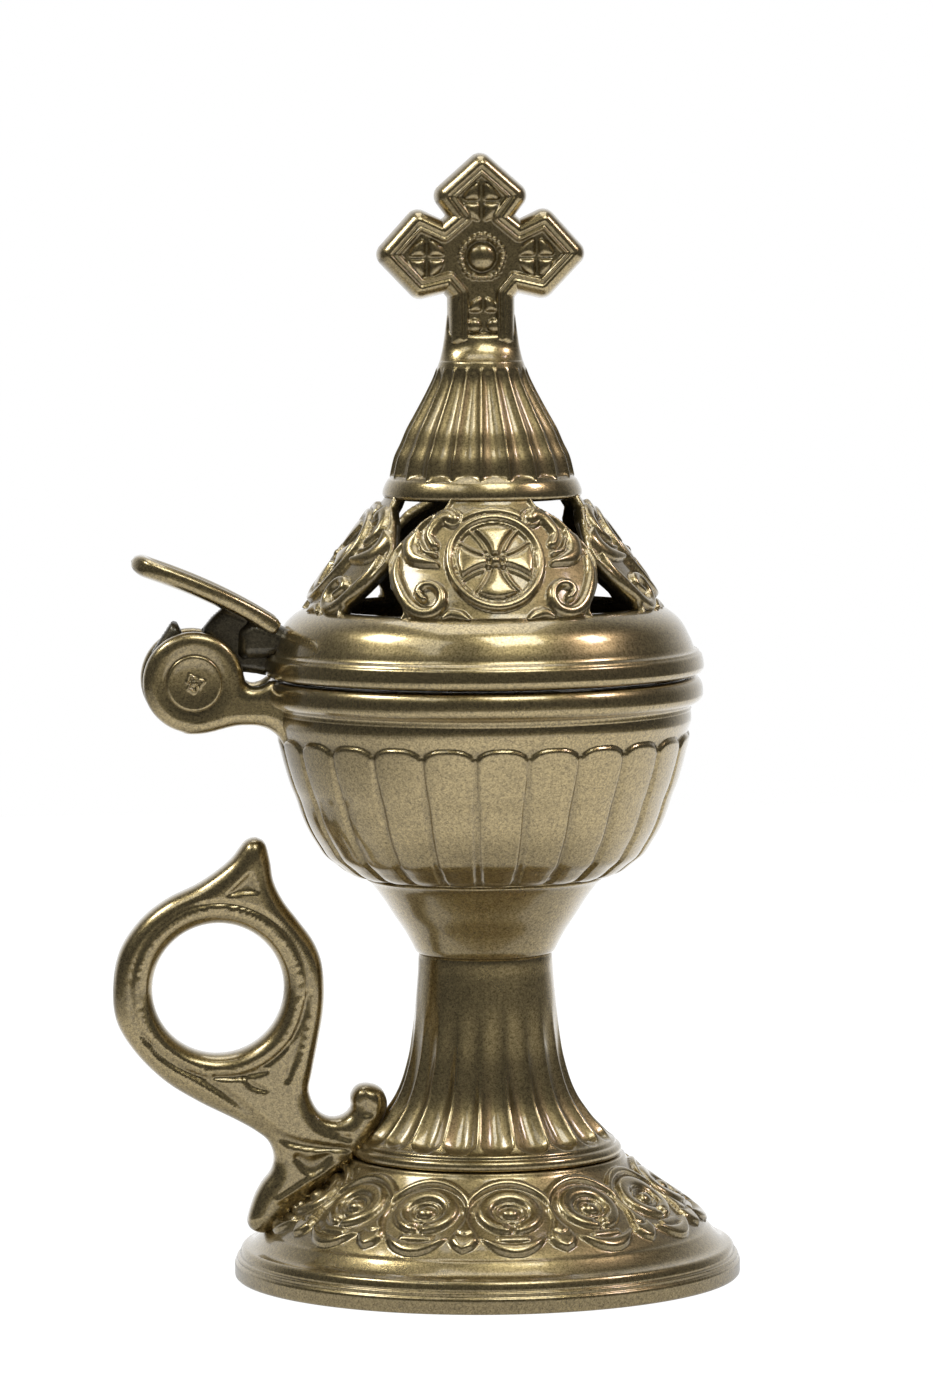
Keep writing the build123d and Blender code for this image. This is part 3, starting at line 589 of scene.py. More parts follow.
@dataclass(frozen=True)
class Foot:
    """The round spreading foot with its band of looped ornament, hollow underneath."""

    radius: float = 38.28
    units: int = 13
    turn: float = math.radians(2.3)
    eye_row: float = 26.5           # plan radius of the row of eyes
    lean: float = 1.36              # length down the slope for each millimetre outwards
    eye_radius: float = 1.45
    ring_radius: float = 3.82       # middle of the looped ring
    ring_half: float = 1.28
    arch_radii: Span = (6.25, 7.45)
    leaf: tuple = (                 # distance down from the eyes, and half width there
        (-4.5, 0.25), (-1.5, 0.35), (1.5, 0.55), (3.2, 1.15), (5.0, 2.0), (6.3, 2.25),
        (7.5, 1.55), (8.5, 0.0),
    )
    columns: int = 13 * 52
    slope: tuple = (
        (37.2, 4.45), (36.9, 4.75), (36.3, 4.95), (35.6, 5.3), (34.6, 6.2), (33.4, 7.5),
        (31.8, 9.1), (30.0, 10.5), (28.0, 11.9), (26.5, 12.9), (24.5, 14.4), (22.8, 15.9),
        (21.6, 17.3), (20.9, 18.2),
    )

    def profile(self) -> Array:
        """The section: rim, two fine ridges, cove, slope, seat and the hollow inside."""
        r = self.radius
        rim = [
            (r - 0.5, 0.0), (r - 0.15, 0.1), (r, 0.35), (r, 1.2), (r, 2.1), (r - 0.12, 2.45),
            (r - 0.4, 2.55),
        ]
        ridges = [
            (r - 0.42, 2.75), (r - 0.3, 3.0), (r - 0.5, 3.25), (r - 0.8, 3.3), (r - 0.78, 3.55),
            (r - 0.85, 3.85),
        ]
        seat = [(20.5, 18.2), (4.0, 18.2), (4.0, 15.6)]
        hollow = [(18.6, 15.6), (22.0, 12.4), (28.0, 8.0), (33.0, 4.2), (35.9, 1.6), (36.2, 0.0)]
        return chain(
            flowing(rim, 0.3), flowing(ridges, 0.16), flowing([ridges[-1], *self.slope], 0.21),
            evenly(seat, 4.0), flowing(hollow, 3.0), evenly([hollow[-1], rim[0]], 1.0),
        )

    def unit(self, angle: Array, radius: Array) -> tuple[Array, Array, Array]:
        """Place within a unit of the ornament.

        Args:
            angle: angle round the axis.
            radius: distance from the axis.

        Returns:
            How far across the unit, how far down the slope from its eye, and half its width.
        """
        across = radius * around(angle, self.units, FRONT + self.turn)
        down = (radius - self.eye_row) * self.lean + 0 * across
        return across, down, radius * math.pi / self.units + 0 * across

    def loop(self, a: Array, s: Array) -> Array:
        """The looped ring, open below between two round ends, with its eye and inner line.

        Args:
            a: across the unit.
            s: down from the eye.

        Returns:
            Its height.
        """
        from_eye = np.hypot(a, s + 0.2)
        ends = np.hypot(np.abs(a) - 1.05, s - 3.9)
        opening = np.abs(a) - 0.42 - 0.28 * np.clip(s - 2.6, 0, 3)
        ring = self.ring_half - np.abs(from_eye - self.ring_radius)
        ring = np.where(s > 0, np.minimum(ring, np.maximum(opening, 0.9 - ends)), ring)
        height = cushion(ring, 1.1, 0.85)
        eye = cushion(self.eye_radius - np.hypot(a, s + 0.1), self.eye_radius, 1.0)
        return np.maximum(np.maximum(height, eye), wire(from_eye - 2.15, 0.24, 0.5))

    def arch(self, a: Array, s: Array) -> Array:
        """The double arch above the ring, the crescent and the tongue below it.

        Args:
            a: across the unit.
            s: down from the eye.

        Returns:
            Their height.
        """
        low, high = self.arch_radii
        away = np.hypot(a, s - 0.6)
        band = np.where(s < 0.5, np.minimum(high - away, away - low), -1.0)
        line = wire(away - low + 0.5, 0.16, 0.25) * (s < -0.5)
        height = np.maximum(cushion(band, 0.5, 0.75), line)
        crescent = np.minimum(5.15 - np.hypot(a, s - 3.95), np.hypot(a, s + 1.85) - 8.65)
        height = np.maximum(height, cushion(crescent, 0.9, 0.85))
        tongue = np.minimum(2.6 - np.abs(a), np.minimum(s - 4.9, 6.4 - s))
        return np.maximum(height, cushion(tongue, 0.6, 0.4))

    def ornament(self, angle: Array, radius: Array, run: Array) -> Array:
        """Height of the looped band: the highest of its ring, arch and the leaf between units.

        Args:
            angle: angle round the axis.
            radius: distance from the axis.
            run: distance along the foot's section.

        Returns:
            Height above the plain foot.
        """
        a, s, half = self.unit(angle, radius)
        height = np.maximum(self.loop(a, s), self.arch(a, s))
        b = half - np.abs(a)
        down, width = zip(*self.leaf)
        leaf = np.where((s < down[-1]) & (s > -4.2), np.interp(s, down, width) - b, -1.0)
        height = np.maximum(height, cushion(leaf, 1.2, 0.85))
        curl = np.where(s > 4.6, np.abs(np.hypot(b, s - 4.3) - 1.05), 9.0)
        height = height - wire(curl, 0.2, 0.3)
        within = smooth(-7.7, -6.9, s) * (1 - smooth(9.4, 10.0, s))
        on_top = (run < 30) & (run > 3)
        return (height - 0.12) * within * on_top

    def build(self, bronze: bpy.types.Material) -> None:
        """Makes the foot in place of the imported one."""
        skin = turned(self.profile(), self.columns, Ends.LOOP, self.ornament)
        skin.place("foot_relief", Body.VESSEL, bronze, "foot")


@dataclass(frozen=True)
class Stem:
    """The waisted stem, fluted at its foot."""

    flutes: int = 20
    depth: float = 1.35
    rib_half: float = 0.2
    fade: Span = (24.0, 43.0)       # heights over which the flutes die out
    end_height: float = 20.75       # where the flutes' round ends are
    columns: int = 20 * 24
    side: tuple = (
        (19.35, 20.45), (18.6, 21.1), (17.8, 22.0), (16.6, 23.3), (15.3, 25.0), (13.95, 27.0),
        (13.0, 29.0), (12.2, 31.5), (11.6, 34.0), (11.15, 37.0), (10.8, 40.0), (10.5, 43.0),
        (10.25, 46.0), (10.1, 48.6), (10.0, 48.9),
    )

    def profile(self) -> Array:
        """The section from the axis at the seat, out over the bead and up the side."""
        bead = [
            (19.9, 18.22), (20.3, 18.5), (20.45, 19.0), (20.3, 19.55), (19.95, 19.9), (19.6, 20.0),
        ]
        lip = [(19.6, 20.0), (19.5, 20.25), (19.35, 20.45)]
        return chain(
            evenly([(0.0, 18.22), (19.9, 18.22)], 7.0), flowing(bead, 0.2), evenly(lip, 0.2),
            flowing(self.side, 0.3), evenly([self.side[-1], (0.0, self.side[-1][1])], 4.0),
        )

    def flute(self, angle: Array, radius: Array, height: Array) -> Array:
        """Depth of the flutes, negative: a hollow across each, round at its lower end.

        Across a flute the depth is D t (2 - t), where t is the distance in from its edge as a
        share of its half width, and D fades out up the stem.

        Args:
            angle: angle round the axis.
            radius: distance from the axis.
            height: height above the floor.

        Returns:
            Height above the plain stem.
        """
        half = radius * math.pi / self.flutes
        across = np.abs(radius * around(angle, self.flutes, FRONT))
        above_end = (height - self.end_height) * 1.5
        width = half - self.rib_half
        inside = width - np.hypot(across, np.clip(width - above_end, 0, None))
        t = np.clip(inside / width, 0, 1)
        fade = 1 - smooth(*self.fade, height)
        hollow = self.depth * t * (2 - t) * fade * (half / 2.6) ** 0.5
        lip = wire(height - self.end_height + 0.25, 0.2, 0.12)
        return lip - hollow

    def build(self, bronze: bpy.types.Material) -> None:
        """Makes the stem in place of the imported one."""
        profile = self.profile()
        rise = lambda angle, radius, run: self.flute(angle, radius, profile[:, 1:])
        skin = turned(profile, self.columns, Ends.POLES, rise)
        skin.place("stem_fluted", Body.VESSEL, bronze, "stem")


@dataclass(frozen=True)
class Bowl:
    """The collar and the lobed bowl with its rolled rim."""

    lobes: int = 24
    lobe_height: float = 0.5
    arch_height: float = 82.4       # top of the lobes
    arch_rise: float = 2.2
    arch_power: float = 2.3
    foot_height: float = 60.9       # bottom of the lobes
    columns: int = 24 * 26
    collar: tuple = (
        (10.0, 48.9), (10.45, 49.2), (10.8, 49.9), (12.1, 52.3), (13.7, 54.7), (15.3, 57.2),
        (17.1, 59.6), (17.6, 60.1),
    )
    ridge: tuple = ((17.6, 60.1), (17.95, 60.3), (17.95, 60.55), (17.75, 60.75))
    side: tuple = (
        (17.75, 60.75), (18.4, 61.1), (20.6, 62.0), (22.3, 63.3), (23.8, 64.5), (24.8, 66.0),
        (26.0, 68.0), (26.9, 70.0), (27.9, 73.0), (28.7, 75.0), (29.6, 78.0), (30.1, 80.0),
        (30.6, 82.0), (31.0, 83.2), (31.25, 84.0), (31.3, 84.8), (31.2, 85.7),
    )
    rim: tuple = (
        (31.2, 85.7), (31.35, 85.95), (31.2, 86.15), (31.5, 86.6), (32.4, 87.0), (33.0, 87.7),
        (33.1, 88.5), (32.95, 89.6), (32.4, 90.5), (31.8, 90.8),
    )

    def profile(self) -> Array:
        """The section from the axis at the joint, up the outside and down the inside."""
        inner = [
            (28.9, 90.8), (28.85, 88.0), (28.5, 82.0), (27.2, 76.0), (24.6, 70.6), (21.0, 66.4),
            (17.0, 64.9), (0.0, 64.8),
        ]
        side = flowing(self.side, 0.17)
        arches = side[:, 1] > self.arch_height - 3.0
        joint = [(0.0, self.collar[0][1]), self.collar[0]]
        return chain(
            evenly(joint, 4.0), flowing(self.collar, 0.8), flowing(self.ridge, 0.15),
            side[~arches][::3], side[arches], flowing(self.rim, 0.35),
            evenly([self.rim[-1], inner[0]], 1.0), flowing(inner, 2.0),
        )

    def lobe(self, angle: Array, radius: Array, height: Array) -> Array:
        """Height of the lobes: a cushion from each one's edge, under an elliptical arch.

        The distance in is half (1 - (a^p + b^p)^(1/p)), where a is the share across the lobe,
        b the share up its arch and p the arch's power.

        Args:
            angle: angle round the axis.
            radius: distance from the axis.
            height: height above the floor.

        Returns:
            Height above the plain bowl.
        """
        across = np.abs(radius * around(angle, self.lobes, FRONT))
        spring = self.arch_height - self.arch_rise
        half = radius * math.pi / self.lobes - 0.1 - 0.36 * smooth(0.0, 7.0, spring - height)
        up = np.clip((height - spring) / self.arch_rise, 0, None)
        p = self.arch_power
        inside = (1 - (np.clip(across / half, 0, 2) ** p + up**p) ** (1 / p)) * half
        t = np.clip(inside / (0.45 + 0.3 * smooth(spring - 1.5, self.arch_height, height)), 0, 1)
        rise = self.lobe_height * np.sqrt(t * (2 - t))
        outline = wire(inside + 0.12, 0.12, 0.05) * (up > 0)
        belly = 0.12 * (1 - np.clip(across / half, 0, 1) ** 2) * smooth(0.0, 1.5, inside)
        lower = smooth(self.foot_height - 0.1, self.foot_height + 0.7, height)
        outside = (height > self.foot_height - 0.2) & (height < self.arch_height + 1.6)
        return (rise + outline + belly) * lower * (outside & (radius > self.ridge[0][0] - 0.6))

    def build(self, bronze: bpy.types.Material) -> None:
        """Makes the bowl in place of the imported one, lobed on its outer side only."""
        profile = self.profile()
        outer = np.arange(len(profile))[:, None] < np.argmax(profile[:, 0]) + 1
        rise = lambda angle, radius, run: self.lobe(angle, radius, profile[:, 1:]) * outer
        skin = turned(profile, self.columns, Ends.POLES, rise)
        skin.place("bowl_lobed", Body.VESSEL, bronze, "bowl")


# ---------------------------------------------------------------------------
# Plates that stand in the X Z plane: hinge lugs, knuckle, finger ring and cross
# ---------------------------------------------------------------------------

@dataclass(frozen=True)
class Edge:
    """The section of a plate's edge: from its widest line to its face, as spans of (in, out)."""

    spans: tuple

    @property
    def reach(self) -> float:
        """How far in from the outline the face starts."""
        return self.spans[-1][0]

    def moved(self, d: Array) -> tuple[Array, Array]:
        """Where a point that lies d in from the outline goes, spread evenly along the section.

        Args:
            d: distances in from the outline.

        Returns:
            The new distance in, and the height out from the plate's middle.
        """
        line = flowing(self.spans, 0.05)
        run = length_along(line)
        at = np.clip(d / self.reach, 0, 1) * run[-1]
        inward = np.interp(at, run, line[:, 0])
        return np.where(d < self.reach, inward, d), np.interp(at, run, line[:, 1])


def upright(plate: Plate, edge: Edge, relief: Relief | None = None, y: float = 0.0) -> Skin:
    """A plate in the X Z plane whose two faces mirror each other about y.

    A point is (u, y -+ (edge height + relief), v), after u and v are moved along the slope
    of the distance as the edge's section says.

    Args:
        plate: the outline.
        edge: the section of its edge.
        relief: height added to both faces, from u, v and the distance in.
        y: the plate's middle.

    Returns:
        The closed surface.
    """
    def face(side: float) -> Face:
        """One face of the plate.

        Args:
            side: -1 for the face towards -Y and 1 for the other.

        Returns:
            The function that makes its points.
        """
        def points(u: Array, v: Array, d: Array, gu: Array, gv: Array) -> tuple[Array, Array]:
            """The face's points, and how sunk they are."""
            inward, out = edge.moved(d)
            u, v = u + (inward - d) * gu, v + (inward - d) * gv
            rise = 0 * u if relief is None else relief(u, v, inward)
            share = np.clip(d / edge.reach, 0, 1) ** 2
            xyz = np.stack([u, y + side * (out + rise * share), v], axis=1)
            return xyz, np.maximum(-rise, 0.0) * share
        return points

    return plate.build(face(-1.0), face(1.0))


@dataclass(frozen=True)
class Hinge:
    """The lugs on the bowl, the pin through them, and the knuckle and spur on the lid."""

    x: float = -43.9
    z: float = 90.8
    lug_radius: float = 7.6
    lug_inner: float = 2.4          # lug faces each side of the middle
    lug_outer: float = 6.0
    arm_height: float = 87.05       # middle of the arm from the bowl
    arm_half: float = 2.8
    head_radius: float = 4.3        # the line round the pin's head
    knuckle_half: float = 2.2
    knuckle_radius: float = 5.6
    pad_corner: float = 1.3
    spur: tuple = ((-46.9, 99.7), (-50.3, 94.6), (-43.5, 93.0), (-45.3, 98.0), (-46.3, 99.9))
    web: tuple = (
        (-30.2, 91.4), (-33.0, 91.5), (-35.2, 91.9), (-38.9, 92.4), (-42.4, 98.4), (-40.9, 100.3),
        (-39.0, 101.9), (-35.5, 100.8), (-30.3, 97.8),
    )
    pad: tuple = (
        (-37.4, 93.8), (-37.2, 98.4), (-35.0, 100.4), (-31.0, 99.2), (-29.0, 98.2), (-29.0, 93.8),
    )
    bowl_side: tuple = ((60, 17), (70, 26.6), (75, 28.6), (80, 30.1), (86, 31.1))

    def from_pin(self, u: Array, v: Array) -> Array:
        """Distance from the pin's axis."""
        return np.hypot(u - self.x, v - self.z)

    def lug_inside(self, u: Array, v: Array) -> Array:
        """Distance into the lug's disc and the arm that runs from it to the bowl.

        Args:
            u: across.
            v: up.

        Returns:
            Distance in, with a rounded corner where the disc, the arm and the bowl meet.
        """
        disc = self.from_pin(u, v) - self.lug_radius
        arm = np.maximum(np.abs(v - self.arm_height) - self.arm_half, np.abs(u + 36.0) - 8.0)
        heights, radii = zip(*self.bowl_side)
        wall = np.maximum(-u - np.interp(v, heights, radii), u + 27.0)
        wall = np.maximum(wall, np.abs(v - 81.0) - 8.4)
        return -soft_min(soft_min(disc, arm, 2.4), wall, 5.0)

    def between(self, u: Array, v: Array) -> Array:
        """Distance into the arm's middle, which stops short of the knuckle."""
        clear = np.minimum(u + 37.6, self.from_pin(u, v) - self.knuckle_radius - 0.6)
        return np.minimum(self.lug_inside(u, v) - 0.6, clear)

    def dish(self, u: Array, v: Array, d: Array) -> Array:
        """A face that falls a little towards the pin's head, with a fine line at its edge."""
        away = self.from_pin(u, v)
        return -0.12 * (1 - smooth(4.2, 6.4, away)) - wire(away - self.head_radius, 0.18, 0.15)

    def lugs(self) -> Skin:
        """Two lugs, and the arm's middle between them."""
        half = (self.lug_outer - self.lug_inner) / 2
        middle = (self.lug_outer + self.lug_inner) / 2
        round_edge = Edge((
            (0.0, 0.0), (0.04, half - 1.3), (0.3, half - 0.6), (0.8, half - 0.18), (1.5, half),
        ))
        square_edge = Edge(((0.0, 0.0), (0.02, 1.0), (0.1, 2.0), (0.3, self.lug_inner + 0.3)))
        lug = Plate((-52.4, -26.8), (72.0, 99.4), 0.3, self.lug_inside)
        filling = Plate((-38.4, -26.8), (72.0, 99.4), 0.5, self.between)
        left, right = (upright(lug, round_edge, self.dish, side * middle) for side in (-1.0, 1.0))
        return left.joined(right, upright(filling, square_edge))

    def punch(self, angle: Array, radius: Array, run: Array) -> Array:
        """The punch mark in the pin's head: a ragged pit with a raised lip and a lump in it.

        Args:
            angle: angle round the pin.
            radius: distance from its axis.
            run: distance along its section; not used.

        Returns:
            Height above the plain head.
        """
        ragged = 1 + 0.2 * np.sin(3 * angle + 1.1) + 0.12 * np.sin(7 * angle)
        lip = wire(radius - 1.05 * ragged, 0.22, 0.24) * (0.7 + 0.3 * np.sin(4 * angle + 0.6))
        pit = -0.2 * smooth(0.0, 0.3, 0.95 * ragged - radius) * smooth(0.25, 0.5, radius)
        return (lip + pit) * (radius < 1.9)

    def pin(self) -> Skin:
        """The pin along Y: a low dished head with a rough punch mark, and its plain tail."""
        head = [
            (0.0, 6.42), (0.5, 6.42), (1.0, 6.42), (2.0, 6.44), (3.0, 6.5), (3.6, 6.56),
            (3.9, 6.57), (4.1, 6.48), (4.2, 6.25), (4.2, 5.7),
        ]
        line = chain(flowing(head, 0.12), [(2.0, 5.7), (2.0, -7.6), (1.7, -7.7), (0.0, -7.7)])
        return turned(line[::-1], 96, Ends.POLES, self.punch).laid_along_y(self.x, self.z)

    def knuckle_inside(self, u: Array, v: Array) -> Array:
        """Distance into the knuckle's disc, its spur and the web under the lever."""
        disc = self.from_pin(u, v) - self.knuckle_radius
        spur = -in_loop(u, v, np.array(self.spur))
        web = -in_loop(u, v, np.array(self.web))
        return -soft_min(soft_min(disc, spur, 1.2), web, 3.2)

    def pad_inside(self, u: Array, v: Array) -> Array:
        """Distance into the pad block, its corners rounded."""
        return self.pad_corner + in_loop(u, v, shrunk(self.pad, self.pad_corner))

    def knuckle(self) -> Skin:
        """The lid's half of the hinge: the knuckle, and the pad block that carries the lever."""
        half = self.knuckle_half
        plate = Plate((-51.5, -29.0), (84.9, 102.0), 0.35, self.knuckle_inside)
        edge = Edge(((0.0, 0.0), (0.02, half - 0.9), (0.3, half - 0.3), (0.9, half)))
        block = Plate((-38.0, -28.4), (93.2, 101.0), 0.3, self.pad_inside)
        round_edge = Edge(((0.0, 0.0), (0.1, 1.6), (0.4, 2.7), (1.0, 3.6), (1.7, 3.95)))
        return upright(plate, edge).joined(upright(block, round_edge))

    def build(self, bronze: bpy.types.Material, painted_shade: bpy.types.Material) -> None:
        """Makes the lugs, the pin and the knuckle.

        Args:
            bronze: the finish of the lugs and the pin.
            painted_shade: the knuckle's finish, a darker copy of the bronze that is painted shade
                for the shadow falling under the lever.
        """
        self.lugs().place("hinge_lugs", Body.VESSEL, bronze)
        self.pin().place("hinge_pin_dressed", Body.VESSEL, bronze, "hinge_pin")
        # The knuckle wears the darker bronze: painted shade for the lever's shadow.
        self.knuckle().place("lid_knuckle", Body.LID, painted_shade)


@dataclass(frozen=True)
class FingerRing:
    """The handle: a ring for the finger with a horn on top, a leg to the foot and a curled knob."""

    centre: tuple = (-40.5, 44.2)
    hole: float = 9.9
    half: float = 3.6
    outline: tuple = (
        (-34.7, 67.0), (-36.0, 66.6), (-38.5, 63.6), (-43.0, 60.3), (-48.3, 57.7), (-52.1, 54.7),
        (-55.2, 50.2), (-56.3, 45.0), (-55.9, 39.6), (-53.3, 35.0), (-48.8, 30.4), (-44.0, 27.3),
        (-37.8, 24.1), (-35.1, 22.5), (-33.2, 20.9), (-32.4, 18.6), (-32.8, 16.4), (-34.3, 14.4),
        (-35.6, 11.8), (-36.3, 8.0), (-33.6, 6.9), (-28.3, 10.9), (-24.3, 14.3), (-21.1, 16.9),
        (-18.7, 19.3), (-16.9, 21.9), (-15.6, 24.2), (-15.1, 26.4), (-15.9, 28.5), (-17.8, 29.3),
        (-19.7, 29.0), (-20.7, 27.5), (-20.7, 25.7), (-21.8, 24.6), (-23.6, 24.3), (-25.5, 25.3),
        (-26.9, 28.4), (-26.4, 31.5), (-25.5, 36.0), (-24.7, 40.6), (-24.5, 44.4), (-24.9, 48.2),
        (-26.1, 51.2), (-28.3, 54.3), (-30.6, 57.4), (-32.0, 60.4), (-32.5, 63.5), (-33.4, 66.4),
        (-34.7, 67.0),
    )

    horn_mark: tuple = ((-35.6, 62.0), (-34.5, 58.9), (-39.4, 58.5))
    grooves: tuple = (
        (
            (
                (-52.0, 37.6), (-48.9, 34.5), (-44.5, 31.7), (-40.1, 28.9), (-35.7, 25.1),
                (-32.7, 22.5), (-29.6, 21.1), (-25.1, 20.2), (-21.1, 19.8),
            ),
            (0.4, 0.55, 0.6, 0.65, 0.8, 0.9, 0.8, 0.7, 0.4), 0.45,
        ),
        (((-41.2, 31.3), (-37.0, 31.2), (-33.7, 31.9)), (0.35, 0.5, 0.4), 0.35),
        (((-37.0, 31.2), (-35.7, 29.8), (-33.7, 29.0)), (0.4, 0.5, 0.35), 0.35),
        (((-27.1, 43.4), (-28.5, 37.2), (-29.5, 33.6), (-30.4, 30.5)), (0.4, 1.0, 1.0, 0.4), 0.35),
        (((-28.9, 18.6), (-26.9, 17.4), (-24.3, 18.8)), (0.7, 1.5, 0.6), 0.45),
        (((-26.9, 25.6), (-26.0, 23.7), (-21.1, 21.4)), (0.4, 0.7, 0.5), 0.3),
        (((-18.8, 27.2), (-18.2, 25.4)), (0.7, 0.9), 0.45),
    )

    ridge: tuple = (
        ((-31.9, 12.2), (-27.0, 15.0), (-22.5, 17.4), (-19.8, 18.0)), (0.4, 0.7, 0.7, 0.4), 0.35,
    )

    def inside(self) -> Callable[[Array, Array], Array]:
        """Distance into the outline and out of the finger hole, as a function of u and v."""
        loop = flowing(self.outline, 0.7)[:-1]

        def distance(u: Array, v: Array) -> Array:
            """The nearer of the two edges."""
            return np.minimum(in_loop(u, v, loop), self.from_centre(u, v) - self.hole)
        return distance

    def from_centre(self, u: Array, v: Array) -> Array:
        """Distance from the finger hole's centre."""
        return np.hypot(u - self.centre[0], v - self.centre[1])

    def relief(self, u: Array, v: Array, d: Array) -> Array:
        """A bead round the hole with a fine line and a groove outside it, sunk grooves, a sunk horn
        mark and a raised ridge.

        Args:
            u: across.
            v: up.
            d: distance in from the edge; not used.

        Returns:
            Height above the plain face.
        """
        away = self.from_centre(u, v)
        rise = ball((away - 11.1) / 1.25, 0.5)
        rise = rise + wire(away - 12.7, 0.25, 0.22) - wire(away - 13.2, 0.3, 0.25)
        for points, widths, depth in self.grooves:
            rise = rise - Stroke(points, widths, depth).rise(u, v)
        rise = rise - cushion(in_loop(u, v, np.array(self.horn_mark)), 0.8, 0.5)
        return rise + Stroke(*self.ridge).rise(u, v)

    def build(self, bronze: bpy.types.Material) -> None:
        """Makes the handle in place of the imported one."""
        h = self.half
        edge = Edge((
            (0.0, 0.0), (0.06, 1.3), (0.4, 2.4), (1.1, h - 0.45), (1.9, h - 0.1), (2.6, h),
        ))
        plate = Plate((-57.2, -14.2), (6.2, 68.0), 0.3, self.inside())
        skin = upright(plate, edge, self.relief)
        skin.place("finger_ring", Body.VESSEL, bronze, "ring_handle")


@dataclass(frozen=True)
class Cross:
    """The finial: a pointed cross with a rolled border, roundels and a boss, on a round neck."""

    z: float = 153.9
    half: float = 3.4
    corner: float = 2.0
    shaft_end: float = 140.0        # the plate's lower end, inside the neck
    neck_columns: int = 128
    panel: float = -0.95            # the sunk panel against the plain face
    boss_radius: float = 2.1
    beads: int = 24
    bead_row: float = 3.2
    roundels: tuple = (             # middle across and up from the centre, and radius
        (0.0, 8.3, 2.8), (8.2, -0.1, 2.7), (-8.3, -0.1, 2.7), (0.1, -8.4, 2.35),
    )
    curls: Span = (-1.2, 1.7)
    outline: tuple = (
        (0.0, 16.2), (7.7, 9.4), (5.3, 6.2), (5.9, 5.7), (9.9, 7.6), (16.4, 0.4), (9.8, -6.5),
        (5.6, -5.5), (5.1, -6.1), (5.1, -10.0), (5.3, -20.0),
    )

    neck: tuple = (
        (6.4, 138.0), (6.24, 138.45), (6.1, 139.0), (5.95, 139.6), (5.75, 140.6), (5.6, 141.6),
        (5.45, 142.6), (5.3, 143.8), (5.15, 145.0), (4.9, 146.0),
    )

    def depth(self, u: Array, w: Array) -> Array:
        """Distance into the whole outline, its corners rounded, the shaft running on below."""
        right = np.array(self.outline)
        left = right[:0:-1] * (-1.0, 1.0)
        return self.corner + in_loop(u, w, shrunk(np.concatenate([right, left]), self.corner))

    def inside(self, u: Array, v: Array) -> Array:
        """The same, with the shaft cut off inside the neck."""
        return np.minimum(self.depth(u, v - self.z), v - self.shaft_end)

    def roundel(self, u: Array, w: Array, x: float, y: float, size: float) -> Array:
        """A disc of four pillowed quarters, the lowest one's lower half left out.

        Args:
            u: across.
            w: up from the cross's centre.
            x: its middle across.
            y: its middle up.
            size: its radius.

        Returns:
            Its height, far below the panel where it isn't.
        """
        away = np.hypot(u - x, (w - y) * 0.93)
        quarter = soft_min(np.abs(u - x) - 0.22, np.abs(w - y) - 0.2, 0.5)
        quarter = soft_min(quarter, size - away, 0.6)
        quarter = np.where((y < -5) & (w < y), -1.0, quarter)
        return np.where(away < size + 0.5, self.panel + cushion(quarter, 1.2, 0.75), NOWHERE)

    def centre(self, u: Array, w: Array, rise: Array) -> Array:
        """The boss and the ring of small beads round it, laid over the relief.

        Args:
            u: across.
            w: up from the cross's centre.
            rise: the relief under it.

        Returns:
            The relief with the boss in it.
        """
        away, turn = np.hypot(u, w), np.arctan2(w, u)
        rise = np.where(away < 2.55, self.panel - 0.35 + ball(away / self.boss_radius, 1.35), rise)
        along = around(turn, self.beads, math.pi / self.beads) * self.bead_row
        bead = np.hypot(away - self.bead_row - 0.1 * np.sin(5 * turn), along) / 0.42
        return np.where((away >= 2.55) & (away < 3.8), self.panel + ball(bead, 0.6), rise)

    def relief(self, u: Array, v: Array, d: Array) -> Array:
        """Border roll, groove and fine inner ridge, then the sunk panel with its roundels.

        Args:
            u: across.
            v: up.
            d: distance in from the plate's edge; not used.

        Returns:
            Height above the plain face.
        """
        w = v - self.z
        d = self.depth(u, w)
        rise = wire(d - 2.65, 0.28, 0.45) - 0.45 * smooth(1.7, 2.3, d) - 0.5 * smooth(2.75, 3.1, d)
        for place in self.roundels:
            rise = np.maximum(rise, self.roundel(u, w, *place))
        for x in self.curls:
            curl = np.hypot(u - x, w + 10.3) / 1.1
            rise = np.maximum(rise, np.where(curl < 1, self.panel + ball(curl, 0.8), NOWHERE))
        return self.centre(u, w, rise) * smooth(-12.6, -11.2, w)

    def stump(self) -> Skin:
        """The neck: sections that change from a circle to the shaft's rounded rectangle.

        A section is (X sgn(c)|c|^e, Y sgn(s)|s|^e), with e falling from 1 to 0.6 and Y going
        from the circle's radius to the shaft's half thickness as 1 - (1 - t)2.
        """
        line = flowing(self.neck, 0.3)
        radius, height = line[:, :1], line[:, 1:]
        bottom = self.neck[0][1]
        change = 1 - (1 - np.clip((height - bottom) / 5.0, 0, 1)) ** 2
        deep = radius * (1 - change) + (self.half - 0.1) * change
        deep = deep - 1.5 * smooth(141.8, 143.4, height)
        power = 1 - 0.4 * smooth(140.0, 143.5, height)
        angle = np.linspace(0, 2 * math.pi, self.neck_columns, endpoint=False)[None, :]
        x = radius * signed_power(np.cos(angle), power)
        y = deep * signed_power(np.sin(angle), power)
        rings = np.stack([x, y, height + 0 * x], axis=-1).reshape(-1, 3)
        ends = [(0.0, 0.0, bottom), (0.0, 0.0, line[-1, 1])]
        return capped(rings, self.neck_columns, ends)

    def build(self, bronze: bpy.types.Material) -> None:
        """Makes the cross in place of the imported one."""
        h = self.half
        edge = Edge((
            (0.0, 0.0), (0.12, 0.9), (0.32, 1.8), (0.6, 2.5), (1.0, 3.0), (1.45, h - 0.08),
            (1.8, h),
        ))
        plate = Plate((-16.6, 16.6), (self.shaft_end - 0.4, 170.2), 0.18, self.inside)
        skin = upright(plate, edge, self.relief).joined(self.stump())
        skin.place("cross_relief", Body.LID, bronze, "cross_finial")


